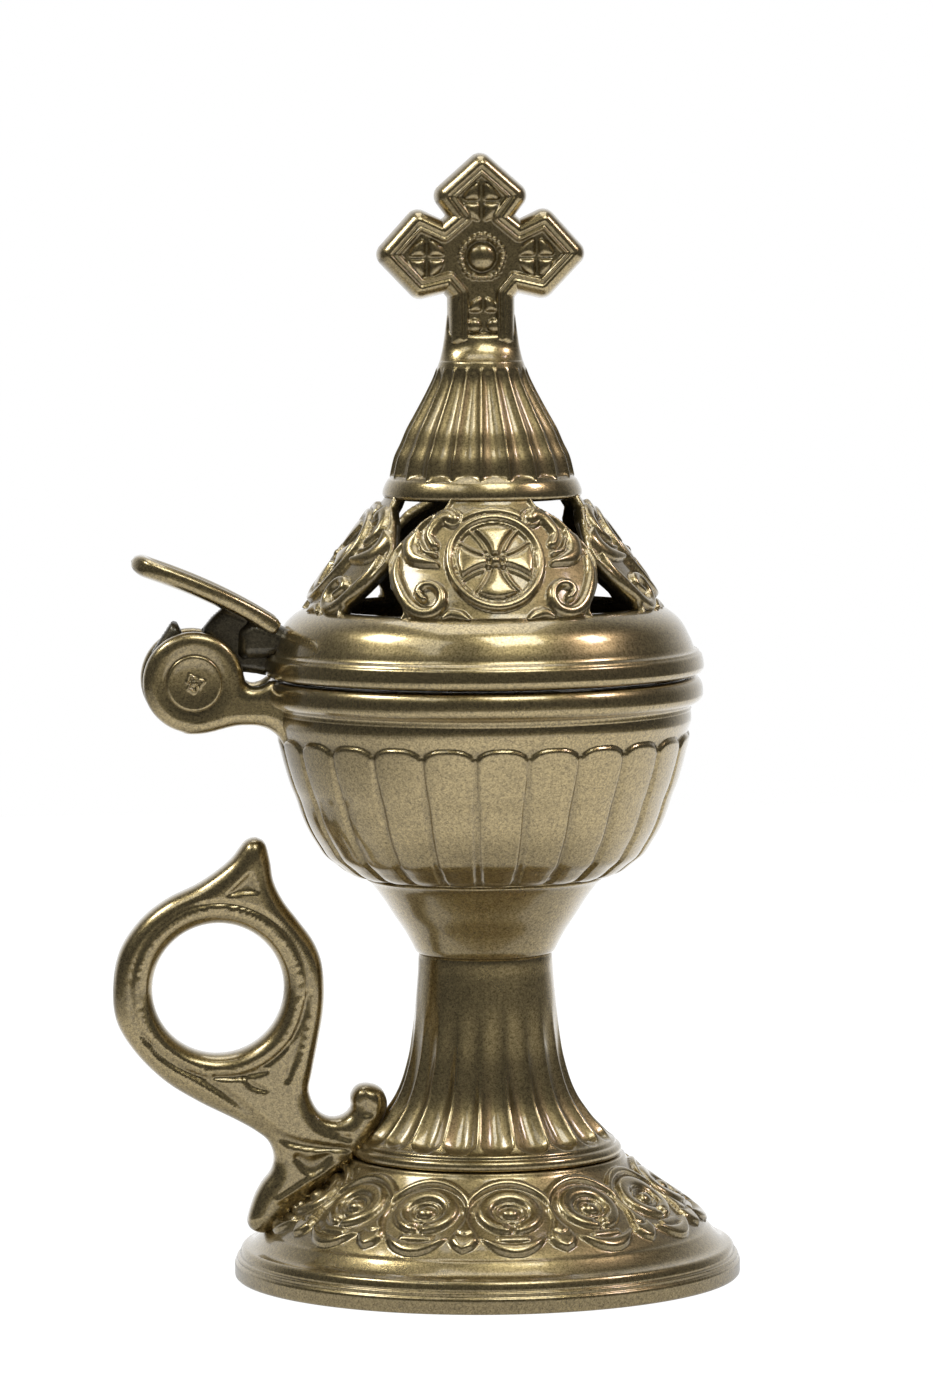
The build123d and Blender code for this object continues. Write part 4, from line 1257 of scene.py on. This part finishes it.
# ---------------------------------------------------------------------------
# Lid
# ---------------------------------------------------------------------------

@dataclass(frozen=True)
class Panel:
    """One of the four openwork panels: a wheel cross in a ring, among leaves and scrolls."""

    foot: float = 101.2             # lowest of the pierced band
    middle: float = 109.5           # centre of the ring
    wall: float = 1.7
    step: float = 0.2
    slope: tuple = (
        (27.0, 100.9), (26.4, 102.0), (25.4, 104.0), (24.2, 106.0), (22.8, 108.0), (21.3, 110.0),
        (19.8, 112.0), (18.3, 114.0), (16.7, 116.0), (15.2, 117.7), (14.8, 118.4),
    )
    half_angle: tuple = (
        (100.0, 33.5), (102.0, 32.0), (103.0, 33.0), (104.1, 35.8), (105.6, 39.2), (107.0, 41.6),
        (109.2, 45.2), (110.6, 45.2), (111.9, 43.4), (113.3, 40.5), (115.0, 36.4), (116.2, 31.0),
        (117.0, 26.5), (118.4, 24.5),
    )

    def radius(self, z: Array) -> Array:
        """Radius of the band at a height."""
        return np.interp(z, [p[1] for p in self.slope], [p[0] for p in self.slope])

    def height(self, t: Array) -> Array:
        """Height of the place t up the slope from the ring's centre."""
        line = flowing(self.slope, 0.3)
        run = length_along(line)
        return np.interp(t, run - np.interp(self.middle, line[:, 1], run), line[:, 1])

    def inside(self, s: Array, t: Array) -> Array:
        """Distance into the panel.

        Args:
            s: round the band from the panel's middle line.
            t: up its slope from the ring's centre.

        Returns:
            Distance in from the nearer side.
        """
        z = self.height(t)
        limit = np.interp(z, *zip(*self.half_angle))
        edge = self.radius(z) * np.radians(np.minimum(limit, 45.0)) - np.abs(s)
        return edge * 0.85

    def strokes(self) -> list[Stroke]:
        """The leaves and scrolls of the right half, across and up from the ring's centre."""
        return [
            Stroke(
                [
                    (15.1, 0.4), (15.6, -2.7), (14.8, -5.5), (13.5, -7.6), (11.6, -8.7),
                    (9.7, -8.4), (8.5, -7.0), (8.5, -5.2), (9.7, -4.1), (11.2, -4.3), (12.0, -5.5),
                    (11.2, -6.5),
                ],
                (0.25, 0.85, 1.15, 1.25, 1.25, 1.15, 1.0, 0.9, 0.85, 0.8, 0.75, 0.7), 1.0,
            ),
            Stroke(
                [(6.4, 8.3), (7.8, 7.6), (9.1, 6.1), (9.8, 4.3), (9.2, 2.9)],
                (1.2, 1.0, 0.9, 0.75, 0.95), 0.95,
            ),
            Stroke(
                [(11.5, 4.9), (13.0, 2.8), (12.6, 0.9), (10.7, 0.0), (9.0, -0.5)],
                (0.3, 1.5, 1.75, 1.15, 0.6), 1.0,
            ),
            Stroke([(9.1, 1.2), (10.6, 1.6), (11.4, 3.4)], (0.55, 0.5, 0.3), 0.8),
            Stroke([(4.4, -9.9), (5.6, -9.1), (7.1, -8.8), (8.3, -9.6)], (0.4, 0.9, 0.9, 0.4), 0.8),
            Stroke([(9.4, 7.9), (11.0, 6.6), (12.2, 5.0)], (0.35, 0.5, 0.3), 0.6),
        ]

    def wheel(self, s: Array, t: Array, away: Array) -> Array:
        """The ring, and in it a cross of four flared petals with a boss and four dots.

        Args:
            s: across.
            t: up the slope.
            away: distance from the ring's centre.

        Returns:
            Its height.
        """
        height = cushion(0.66 - np.abs(away - 7.25), 0.55, 0.95)
        height = np.maximum(height, wire(away - 6.4, 0.18, 0.5))
        for quarter in range(4):
            c, w = math.cos(quarter * math.pi / 2), math.sin(quarter * math.pi / 2)
            along, across = s * c + t * w, np.abs(-s * w + t * c)
            half = 0.5 + 0.085 * np.clip(along, 0, None) ** 2
            petal = np.minimum((half - across) * 0.8, np.minimum(along - 1.2, 6.0 - away))
            raised = 0.55 * smooth(0.0, 0.22, petal) + 0.35 * cushion(petal, 1.4, 1.0)
            near = (along > 1.7) & (away < 6.2)
            height = np.maximum(height, np.maximum(raised, wire(petal + 0.5, 0.2, 0.45) * near))
        height = np.maximum(height, ball(away / 0.95, 1.1))
        dot = np.hypot(np.abs(s) - 1.1, np.abs(t) - 0.8) / 0.42
        return np.maximum(height, ball(dot, 0.8))

    def crest(self, s: Array, t: Array, away: Array) -> Array:
        """The three-lobed crest above the ring."""
        lobe = np.abs(around(np.clip(s, -4.2, 4.2) / 2.7 * 2 * math.pi / 3, 3, 0.0)) * 1.29
        inside = np.minimum(10.0 - 0.045 * s**2 - 0.35 * lobe - t, away - 7.95)
        return cushion(np.where((np.abs(s) < 4.3) & (t > 5), inside, -1.0), 0.4, 0.7)

    def carving(self, s: Array, t: Array) -> Array:
        """Height of the ornament: wheel, leaves and scrolls, volutes, crest and rim.

        Args:
            s: across from the middle line.
            t: up the slope from the ring's centre.

        Returns:
            Height above the plain band.
        """
        away = np.hypot(s / 7.6, t / 8.5) * 7.95
        side = np.abs(s)
        outside = away > 7.9
        height = self.wheel(s, t, away)
        for stroke in self.strokes():
            height = np.maximum(height, np.where(outside, stroke.rise(side, t), 0.0))
        volute = np.hypot(side - 6.0, t - 7.75)
        curl = np.maximum(ball(volute / 1.25, 0.95), wire(volute - 1.5, 0.22, 0.7))
        height = np.where(outside | (volute < 1.7), np.maximum(height, curl), height)
        rim = wire(self.inside(s, t) - 0.35, 0.3, 0.55)
        return np.maximum(np.maximum(height, self.crest(s, t, away)), rim)

    def skin(self) -> Skin:
        """The panel on the -Y side: its outer face follows the cone, r(z) plus the carving."""
        span = self.radius(np.array([self.foot]))[0] * math.pi / 4 + self.step
        line = flowing(self.slope, 0.3)
        run = length_along(line)
        run = run - np.interp(self.middle, line[:, 1], run)
        plate = Plate((-span, span), (run[0], run[-1]), self.step, self.inside, sealed=False)

        def outer(s: Array, t: Array, d: Array, gs: Array, gt: Array) -> tuple[Array, Array]:
            """The carved face, its edge eased over three tenths of a millimetre."""
            rise = self.carving(s, t) - 0.3 - 0.25 * (1 - smooth(0.0, 0.3, d))
            return self.on_cone(s, t, rise), np.clip(0.65 - rise, 0, 1)

        def inner(s: Array, t: Array, d: Array, gs: Array, gt: Array) -> tuple[Array, Array]:
            """The plain face inside."""
            return self.on_cone(s, t, 0 * s - self.wall), 0 * s + 1.0

        return plate.build(outer, inner)

    def on_cone(self, s: Array, t: Array, rise: Array) -> Array:
        """A place on the band, moved out along the slope's normal.

        Args:
            s: across from the middle line.
            t: up the slope.
            rise: how far out.

        Returns:
            (n, 3) points.
        """
        z = self.height(t)
        tilt = np.arctan2(self.radius(z - 0.5) - self.radius(z + 0.5), 1.0)
        base = self.radius(z)
        angle = FRONT + s / base
        r = base + rise * np.cos(tilt)
        return np.stack([r * np.cos(angle), r * np.sin(angle), z + rise * np.sin(tilt)], axis=1)


@dataclass(frozen=True)
class Lid:
    """The lid: rolled rim and dome, pierced band, bead and fluted cone."""

    panels: int = 4
    flutes: int = 20
    flute_turn: float = math.radians(3.4)
    flute_depth: float = 0.85
    fluted: Span = (121.1, 137.2)   # lowest and highest of the flutes
    columns: int = 20 * 36
    rim: tuple = (
        (31.6, 91.15), (32.5, 91.25), (33.0, 91.65), (33.25, 92.25), (33.2, 92.9), (33.08, 93.5),
        (32.95, 94.0), (32.8, 94.25), (32.6, 94.35), (32.55, 94.55), (32.35, 94.75), (32.1, 94.75),
    )
    dome: tuple = (
        (32.1, 94.75), (31.75, 95.1), (31.45, 95.9), (30.95, 97.0), (30.35, 98.2), (29.65, 99.2),
        (28.7, 100.1), (27.6, 100.85), (26.5, 101.4),
    )
    bead: tuple = (
        (14.3, 117.75), (14.75, 117.9), (15.0, 118.4), (14.95, 119.0), (14.6, 119.9),
        (14.25, 120.5), (14.0, 120.75), (13.85, 120.8),
    )
    cone: tuple = (
        (13.85, 120.8), (13.7, 121.6), (13.1, 124.0), (12.15, 126.0), (11.3, 128.0), (10.2, 130.0),
        (9.1, 132.0), (8.05, 134.0), (7.1, 136.0), (6.4, 138.0), (6.25, 138.4),
    )

    def skirt(self) -> Skin:
        """Rim and dome, with the inside of the dome."""
        inner = [
            (24.9, 101.5), (25.6, 100.3), (27.6, 98.6), (29.4, 96.4), (30.4, 94.0), (30.2, 91.15),
        ]
        line = chain(
            flowing(self.rim, 0.22), flowing(self.dome, 0.5),
            evenly([self.dome[-1], inner[0]], 0.8), flowing(inner, 1.2),
            evenly([inner[-1], self.rim[0]], 0.7),
        )
        return turned(line, 240, Ends.LOOP)

    def flute(self, angle: Array, radius: Array, height: Array) -> Array:
        """Depth of the cone's flutes: round hollows, square below and pointed above.

        Args:
            angle: angle round the axis.
            radius: distance from the axis.
            height: height above the floor.

        Returns:
            Height above the plain cone.
        """
        low, high = self.fluted
        half = radius * math.pi / self.flutes - 0.16
        across = np.abs(radius * around(angle, self.flutes, FRONT + self.flute_turn))
        inside = soft_min(half - across, (height - low) * 3.0, 0.4)
        inside = soft_min(inside, (high - height) * 0.42, 0.4)
        t = np.clip(inside / half, 0, 1)
        hollow = self.flute_depth * t * (2 - t) * np.sqrt(half / 2)
        rise = wire(inside + 0.1, 0.14, 0.1) - hollow
        return np.where((height > low - 0.3) & (height < high), rise, 0.0)

    def crown(self) -> Skin:
        """Bead, cone and neck, closed inside by the bead's underside."""
        top = self.cone[-1][1]
        inner = [(0.0, 138.0), (4.4, 137.0), (12.6, 119.5), (13.0, 117.75)]
        line = chain(
            inner, evenly([inner[-1], self.bead[0]], 0.4), flowing(self.bead, 0.22),
            flowing(self.cone, 0.35), [(5.2, top), (0.0, top)],
        )
        outside = np.arange(len(line))[:, None] > 6
        rise = lambda angle, radius, run: self.flute(angle, radius, line[:, 1:]) * outside
        return turned(line, self.columns, Ends.POLES, rise)

    def build(self, bronze: bpy.types.Material) -> None:
        """Makes the lid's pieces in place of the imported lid."""
        self.skirt().place("lid_rim_and_dome", Body.LID, bronze, "lid")
        panel = Panel().skin()
        for index in range(self.panels):
            turned_panel = panel.about_axis(360 * index / self.panels)
            turned_panel.place(f"lid_panel_{index + 1}", Body.LID, bronze)
        self.crown().place("lid_cone", Body.LID, bronze)


@dataclass(frozen=True)
class ThumbLever:
    """The dished lever over the hinge that lifts the lid."""

    spine: tuple = (
        (-52.9, 108.9), (-50.3, 107.9), (-47.2, 106.75), (-43.5, 105.25), (-39.5, 103.4),
        (-36.0, 101.55), (-33.2, 99.9), (-31.2, 98.6),
    )
    half_width: float = 5.4
    half_thick: float = 1.65
    power: float = 0.65
    dish: float = 0.9
    columns: int = 112

    def skin(self) -> Skin:
        """Rounded sections carried along the spine.

        A section is the superellipse (W sgn(c)|c|^p, H sgn(s)|s|^p) of the angle's cosine and
        sine, with the top dished towards its middle; W and H fall to nothing at the tip as a
        quarter circle.
        """
        line = flowing(self.spine, 0.35)
        run = length_along(line)
        root = run[-1] - run
        along = np.gradient(line, axis=0)
        along /= np.linalg.norm(along, axis=1, keepdims=True)
        up = np.stack([-along[:, 1], along[:, 0]], axis=1)
        tip = quarter_circle(run / 2.6)
        width = self.half_width * (0.45 + 0.55 * quarter_circle(run / 6.5))
        width = (width * (0.8 + 0.2 * smooth(1.0, 12.0, root)) * tip)[:, None]
        thick = (self.half_thick * tip * (1 - 0.25 * (1 - smooth(0.0, 0.9, root))))[:, None]
        angle = np.linspace(0, 2 * math.pi, self.columns, endpoint=False)
        y = width * signed_power(np.cos(angle), self.power)
        edge = np.abs(y) / np.maximum(width, 0.1)
        dish = self.dish * (1 - smooth(0.3, 0.85, edge)) * smooth(1.0, 4.0, run)[:, None]
        h = thick * signed_power(np.sin(angle), self.power)
        h = h - dish * smooth(0.0, 0.3, np.sin(angle))
        x = line[:, :1] + up[:, :1] * h
        z = line[:, 1:] + up[:, 1:] * h
        rings = np.stack([x, y, z], axis=-1)[1:].reshape(-1, 3)
        root_middle = rings[-self.columns:].mean(axis=0)
        return capped(rings, self.columns, [(line[0, 0], 0.0, line[0, 1]), root_middle])

    def build(self, bronze: bpy.types.Material) -> None:
        """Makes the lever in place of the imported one."""
        self.skin().place("thumb_lever_dished", Body.LID, bronze, "thumb_lever")


# ---------------------------------------------------------------------------
# Finishes
# ---------------------------------------------------------------------------

class NodeBench:
    """A small hand for placing and joining nodes in one tree."""

    def __init__(self, tree: bpy.types.NodeTree) -> None:
        """Starts on an empty tree."""
        self.tree = tree
        tree.nodes.clear()

    def add(self, kind: str, **settings: object) -> bpy.types.Node:
        """Adds a node and sets its inputs, or its own properties where no socket has the name.

        Args:
            kind: the node's type.
            settings: values by the input's or property's name, in small letters.

        Returns:
            The node.
        """
        node = self.tree.nodes.new(kind)
        for name, value in settings.items():
            label = name.replace("_", " ").title()
            if label in node.inputs:
                node.inputs[label].default_value = value
            else:
                setattr(node, name, value)
        return node

    def join(self, source: bpy.types.NodeSocket, target: bpy.types.NodeSocket) -> None:
        """Joins an output to an input."""
        self.tree.links.new(source, target)

    def ramp(self, source: bpy.types.NodeSocket, span: Span, values: Span) -> bpy.types.NodeSocket:
        """An S curve from one value to another over a span.

        Args:
            source: the number read.
            span: where the curve starts and ends.
            values: its values there.

        Returns:
            The result's socket.
        """
        node = self.add("ShaderNodeMapRange", interpolation_type="SMOOTHSTEP")
        labels = ("From Min", "From Max", "To Min", "To Max")
        for label, value in zip(labels, (*span, *values)):
            node.inputs[label].default_value = value
        self.join(source, node.inputs["Value"])
        return node.outputs[0]

    def math(self, operation: str, a: object, b: object) -> bpy.types.NodeSocket:
        """A Math node's result.

        Args:
            operation: the node's operation.
            a: its first socket or number.
            b: its second.

        Returns:
            The result's socket.
        """
        node = self.add("ShaderNodeMath", operation=operation)
        for slot, value in zip(node.inputs, (a, b)):
            if isinstance(value, bpy.types.NodeSocket):
                self.join(value, slot)
            else:
                slot.default_value = value
        return node.outputs[0]

    def rays(self, *kinds: str) -> bpy.types.NodeSocket:
        """1 for rays of the given kinds and 0 for others.

        Args:
            kinds: Light Path outputs, such as Is Camera Ray.

        Returns:
            The mask's socket.
        """
        path = self.add("ShaderNodeLightPath")
        mask = path.outputs[kinds[0]]
        for kind in kinds[1:]:
            mask = self.math("MAXIMUM", mask, path.outputs[kind])
        return mask


def group(name: str, inputs: dict[str, float], outputs: Sequence[str]) -> NodeBench:
    """An empty shader node group whose inputs and outputs are numbers.

    Args:
        name: the group's name.
        inputs: each input's name and usual value.
        outputs: the outputs' names.

    Returns:
        A bench to fill the group with.
    """
    tree = bpy.data.node_groups.new(name, "ShaderNodeTree")
    for label, value in inputs.items():
        socket = tree.interface.new_socket(label, in_out="INPUT", socket_type="NodeSocketFloat")
        socket.default_value = value
    for label in outputs:
        tree.interface.new_socket(label, in_out="OUTPUT", socket_type="NodeSocketFloat")
    return NodeBench(tree)


def flake_group() -> bpy.types.NodeTree:
    """Fine metal flake in a lacquer: a grain value about 0.5, and a height for its tiny bumps."""
    bench = group("metal_flake", {"Scale": 4200.0, "Strength": 1.0}, ("Grain", "Height"))
    source, result = bench.add("NodeGroupInput"), bench.add("NodeGroupOutput")
    place = bench.add("ShaderNodeTexCoord")
    fine = bench.add("ShaderNodeTexVoronoi")
    coarse = bench.add("ShaderNodeTexNoise", detail=1.0, roughness=0.5)
    for noise in (fine, coarse):
        bench.join(place.outputs["Object"], noise.inputs["Vector"])
    bench.join(source.outputs["Scale"], fine.inputs["Scale"])
    bench.join(bench.math("MULTIPLY", source.outputs["Scale"], 0.42), coarse.inputs["Scale"])
    cells = bench.add("ShaderNodeSeparateColor")
    bench.join(fine.outputs["Color"], cells.inputs[0])
    each = bench.math("MULTIPLY", cells.outputs[0], 0.45)
    both = bench.math("ADD", each, bench.math("MULTIPLY", coarse.outputs[0], 0.55))
    spread = bench.math("SUBTRACT", both, 0.5)
    spread = bench.math("MULTIPLY", spread, source.outputs["Strength"])
    bench.join(bench.math("ADD", spread, 0.5), result.inputs["Grain"])
    bench.join(cells.outputs[1], result.inputs["Height"])
    return bench.tree


def patina_group() -> bpy.types.NodeTree:
    """Where dark patina has stayed: sunk relief by its own depth, broken up by cloudy noise."""
    bench = group("patina", {"Depth Scale": 1.0, "Cloud Scale": 90.0}, ("Mask", "Cloud"))
    source, result = bench.add("NodeGroupInput"), bench.add("NodeGroupOutput")
    place = bench.add("ShaderNodeTexCoord")
    depth = bench.add("ShaderNodeAttribute", attribute_name="sunk")
    cloud = bench.add("ShaderNodeTexNoise", detail=4.0, roughness=0.55)
    bench.join(place.outputs["Object"], cloud.inputs["Vector"])
    bench.join(source.outputs["Cloud Scale"], cloud.inputs["Scale"])
    sunk = bench.math("MULTIPLY", depth.outputs["Fac"], source.outputs["Depth Scale"])
    broken = bench.math("MULTIPLY", sunk, bench.math("ADD", cloud.outputs[0], 0.5))
    limit = bench.add("ShaderNodeClamp")
    bench.join(broken, limit.inputs[0])
    bench.join(limit.outputs[0], result.inputs["Mask"])
    bench.join(cloud.outputs[0], result.inputs["Cloud"])
    return bench.tree


@dataclass(frozen=True)
class Bronze:
    """A metal finish: flake between two colours under a clear coat, darker where it is sunk."""

    dark: tuple = (0.155, 0.115, 0.046, 1.0)
    light: tuple = (0.55, 0.425, 0.2, 1.0)
    patina: tuple = (0.07, 0.052, 0.022, 1.0)
    metallic: float = 0.95
    roughness: float = 0.28
    coat: float = 1.0
    coat_ior: float = 1.6
    coat_roughness: float = 0.1
    worn_depth: float = 0.26
    flake_scale: float = 5200.0
    flake_strength: float = 1.35
    bump: float = 0.05

    def material(
        self, name: str, flake: bpy.types.NodeTree, patina: bpy.types.NodeTree
    ) -> bpy.types.Material:
        """The finish as a material.

        The colour runs from dark to light with the flake's grain and towards the patina where
        the relief is sunk; the roughness grows with the patina's mask and cloud.

        Args:
            name: the material's name.
            flake: the flake group.
            patina: the patina group.

        Returns:
            The material.
        """
        made = bpy.data.materials.new(name)
        made.use_nodes = True
        bench = NodeBench(made.node_tree)
        shader = bench.add(
            "ShaderNodeBsdfPrincipled", metallic=self.metallic, coat_weight=self.coat,
            coat_roughness=self.coat_roughness,
        )
        shader.inputs["Coat IOR"].default_value = self.coat_ior
        output = bench.add("ShaderNodeOutputMaterial")
        bench.join(shader.outputs[0], output.inputs["Surface"])
        grain = bench.add("ShaderNodeGroup", node_tree=flake)
        grain.inputs["Scale"].default_value = self.flake_scale
        grain.inputs["Strength"].default_value = self.flake_strength
        worn = bench.add("ShaderNodeGroup", node_tree=patina)
        tone = bench.add("ShaderNodeMix", data_type="RGBA")
        tone.inputs[6].default_value, tone.inputs[7].default_value = self.dark, self.light
        bench.join(grain.outputs["Grain"], tone.inputs[0])
        aged = bench.add("ShaderNodeMix", data_type="RGBA")
        aged.inputs[7].default_value = self.patina
        bench.join(bench.math("MULTIPLY", worn.outputs["Mask"], self.worn_depth), aged.inputs[0])
        bench.join(tone.outputs[2], aged.inputs[6])
        bench.join(aged.outputs[2], shader.inputs["Base Color"])
        rough = bench.math("MULTIPLY", worn.outputs["Cloud"], 0.12)
        rough = bench.math("ADD", rough, self.roughness - 0.06)
        rough = bench.math("ADD", rough, bench.math("MULTIPLY", worn.outputs["Mask"], 0.15))
        bench.join(rough, shader.inputs["Roughness"])
        bump = bench.add("ShaderNodeBump", strength=self.bump, distance=0.0002)
        bench.join(grain.outputs["Height"], bump.inputs["Height"])
        bench.join(bump.outputs[0], shader.inputs["Normal"])
        return made


FINISHES = {
    "antique_bronze": Bronze(),
    "brushed_fastener_steel": Bronze(
        dark=(0.28, 0.27, 0.25, 1.0), light=(0.62, 0.6, 0.56, 1.0), metallic=1.0,
        roughness=0.34, flake_scale=2500.0,
    ),
    "cup_sheet_steel": Bronze(
        dark=(0.12, 0.115, 0.11, 1.0), light=(0.42, 0.41, 0.39, 1.0), metallic=1.0,
        roughness=0.45, flake_scale=1800.0,
    ),
    # A darker copy of the bronze for the knuckle: painted shade for the shadow that falls under the
    # lever.
    "painted_shade_bronze": Bronze(
        dark=(0.035, 0.03, 0.018, 1.0), light=(0.15, 0.125, 0.075, 1.0), metallic=0.7,
        roughness=0.42, coat=0.4,
    ),
}


# ---------------------------------------------------------------------------
# Studio
# ---------------------------------------------------------------------------

@dataclass(frozen=True)
class Lamp:
    """A rectangular soft lamp that faces the bowl, placed in degrees and metres."""

    name: str
    azimuth: float
    elevation: float
    reach: float
    size: Span
    power: float
    colour: tuple[float, float, float]

    def build(self) -> None:
        """Makes the lamp at its reach from the bowl, pointed at it."""
        data = bpy.data.lights.new(self.name, "AREA")
        data.shape = "RECTANGLE"
        data.size, data.size_y = self.size
        data.energy, data.color = self.power, self.colour
        lamp = bpy.data.objects.new(self.name, data)
        bpy.context.scene.collection.objects.link(lamp)
        a, e = math.radians(self.azimuth), math.radians(self.elevation)
        back = Vector((math.sin(a) * math.cos(e), -math.cos(a) * math.cos(e), math.sin(e)))
        lamp.location = back * self.reach + Vector((0.0, 0.0, BOWL_MIDDLE))
        lamp.rotation_mode = "QUATERNION"
        lamp.rotation_quaternion = (-back).to_track_quat("-Z", "Y")


@dataclass(frozen=True)
class Studio:
    """White surroundings, soft lamps and the camera, in millimetres and degrees."""

    azimuth: float = -5.0
    distance: float = 1051.5
    height: float = 176.0
    pitch: float = 4.827
    roll: float = 0.407
    across: float = -2.57
    lens: float = 180.0
    sensor: float = 36.0
    front_light: float = 0.09       # the world's light in front, where it is 1 behind
    front_edge: float = 0.3
    back_edge: float = 1.1
    plain_light: float = 0.8
    # glow of the floor at the hinge side as the metal mirrors it: painted shade
    painted_floor_shade: float = 0.3
    floor_side: float = 0.36
    floor_front: float = 0.5
    floor_back: float = 0.7
    lamps: tuple = (
        Lamp("lamp_left", -84.0, 50.0, 1.1, (0.34, 0.26), 3.2, (0.96, 0.98, 1.0)),
        Lamp("lamp_left_wide", -60.0, 51.0, 1.1, (0.75, 0.3), 1.3, (0.98, 1.0, 0.97)),
        Lamp("lamp_right", 75.0, 44.0, 1.1, (0.22, 0.22), 2.4, (1.0, 0.88, 0.95)),
        Lamp("lamp_front", 20.0, 59.0, 1.1, (0.45, 0.42), 3.6, (0.98, 1.0, 0.96)),
        Lamp("lamp_top", 180.0, 76.0, 1.2, (0.7, 1.0), 4.6, (0.96, 0.98, 1.0)),
    )

    def camera(self) -> None:
        """The camera: on a circle round the axis, looking slightly down, a touch rolled."""
        data = bpy.data.cameras.new("studio_camera")
        data.lens, data.sensor_width = self.lens, self.sensor
        data.clip_start, data.clip_end = 0.01, 20.0
        camera = bpy.data.objects.new("studio_camera", data)
        bpy.context.scene.collection.objects.link(camera)
        a, p = math.radians(self.azimuth), math.radians(self.pitch)
        right = np.array([math.cos(a), math.sin(a), 0.0])
        away = np.array([-math.sin(a), math.cos(a), 0.0])
        place = right * self.across - away * self.distance + np.array([0.0, 0.0, self.height])
        camera.location = (place * METRES).tolist()
        camera.rotation_mode = "XYZ"
        turn = Matrix.Rotation(a, 4, "Z") @ Matrix.Rotation(math.pi / 2 - p, 4, "X")
        turn = turn @ Matrix.Rotation(-math.radians(self.roll), 4, "Z")
        camera.rotation_euler = turn.to_euler("XYZ")
        bpy.context.scene.camera = camera

    def surroundings(self) -> None:
        """A world that is white to the camera; glossy and transmitted rays find it white behind.

        In front it is dark, as a studio is. The light in a direction is
        front + (1 - front) smooth(y), where y is how far the direction points behind.
        """
        world = bpy.data.worlds.new("studio_world")
        world.use_nodes = True
        bpy.context.scene.world = world
        bench = NodeBench(world.node_tree)
        output = bench.add("ShaderNodeOutputWorld")
        light = bench.add("ShaderNodeBackground")
        place = bench.add("ShaderNodeTexCoord")
        parts = bench.add("ShaderNodeSeparateXYZ")
        bench.join(place.outputs["Generated"], parts.inputs[0])
        edges, levels = (self.front_edge, self.back_edge), (self.front_light, 1.0)
        behind = bench.ramp(parts.outputs["Y"], edges, levels)
        mirrored = bench.rays("Is Glossy Ray", "Is Transmission Ray")
        soft = bench.math("MULTIPLY", behind, bench.math("MAXIMUM", mirrored, self.plain_light))
        level = bench.math("MAXIMUM", bench.rays("Is Camera Ray"), soft)
        bench.join(level, light.inputs["Color"])
        bench.join(light.outputs[0], output.inputs["Surface"])

    def floor_level(self, bench: NodeBench) -> bpy.types.NodeSocket:
        """The floor's glow: 1 to the camera; in reflections, painted shade at the hinge side and a
        painted shadow close to the object.

        Args:
            bench: the floor's material.

        Returns:
            The glow's socket.
        """
        place = bench.add("ShaderNodeTexCoord")
        parts = bench.add("ShaderNodeSeparateXYZ")
        away = bench.add("ShaderNodeVectorMath", operation="LENGTH")
        for reader in (parts, away):
            bench.join(place.outputs["Object"], reader.inputs[0])
        # Painted shade: in reflections the floor dims towards the hinge side.
        side = bench.ramp(parts.outputs["X"], (-0.24, -0.03), (self.painted_floor_shade, 1.0))
        # Painted shadow: in reflections the floor dims close to the object's axis.
        near = bench.ramp(away.outputs["Value"], (0.04, 0.12), (0.5, 1.0))
        mirrored = bench.math("MULTIPLY", side, near)
        return bench.math("MAXIMUM", bench.rays("Is Camera Ray"), mirrored)

    def floor(self) -> None:
        """A pale floor that keeps the object's shadow and is white to the camera elsewhere."""
        mesh = bpy.data.meshes.new("floor")
        side, front, back = self.floor_side, -self.floor_front, self.floor_back
        corners = [(-side, front, 0.0), (side, front, 0.0), (side, back, 0.0), (-side, back, 0.0)]
        mesh.from_pydata(corners, [], [(0, 1, 2, 3)])
        floor = bpy.data.objects.new("floor", mesh)
        bpy.context.scene.collection.objects.link(floor)
        made = bpy.data.materials.new("floor_white")
        made.use_nodes = True
        bench = NodeBench(made.node_tree)
        output = bench.add("ShaderNodeOutputMaterial")
        plain = bench.add("ShaderNodeBsdfDiffuse", color=(0.8, 0.8, 0.8, 1.0))
        faint = bench.add("ShaderNodeBsdfDiffuse", color=(0.15, 0.15, 0.15, 1.0))
        glow = bench.add("ShaderNodeEmission", strength=0.985)
        bench.join(self.floor_level(bench), glow.inputs["Color"])
        both = bench.add("ShaderNodeAddShader")
        mix = bench.add("ShaderNodeMixShader")
        seen = bench.rays("Is Camera Ray", "Is Glossy Ray", "Is Transmission Ray")
        bench.join(faint.outputs[0], both.inputs[0])
        bench.join(glow.outputs[0], both.inputs[1])
        bench.join(seen, mix.inputs[0])
        bench.join(plain.outputs[0], mix.inputs[1])
        bench.join(both.outputs[0], mix.inputs[2])
        bench.join(mix.outputs[0], output.inputs["Surface"])
        mesh.materials.append(made)

    def build(self) -> None:
        """Sets up the camera, the surroundings, the floor and the lamps."""
        bpy.context.scene.view_settings.view_transform = "Standard"
        self.camera()
        self.surroundings()
        self.floor()
        for lamp in self.lamps:
            lamp.build()


def dress_packed(names: Sequence[str], finish: bpy.types.Material) -> None:
    """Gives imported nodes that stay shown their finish."""
    for name in names:
        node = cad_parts[name]
        node.data.materials.clear()
        node.data.materials.append(finish)
        log.info("%s: packed piece, dressed in %s", name, finish.name)


def main() -> None:
    """Builds the studio and every piece."""
    logging.basicConfig(level=logging.INFO, format="%(name)s %(message)s")
    Studio().build()
    flake, patina = flake_group(), patina_group()
    made = {name: finish.material(name, flake, patina) for name, finish in FINISHES.items()}
    bronze = made["antique_bronze"]
    for assembly in (Foot(), Stem(), Bowl(), FingerRing(), Lid(), ThumbLever(), Cross()):
        assembly.build(bronze)
    Hinge().build(bronze, made["painted_shade_bronze"])
    dress_packed(("fire_cup",), made["cup_sheet_steel"])
    dress_packed(FASTENERS, made["brushed_fastener_steel"])
    dress_packed(("pin_collar",), bronze)


if __name__ == "__main__":
    main()
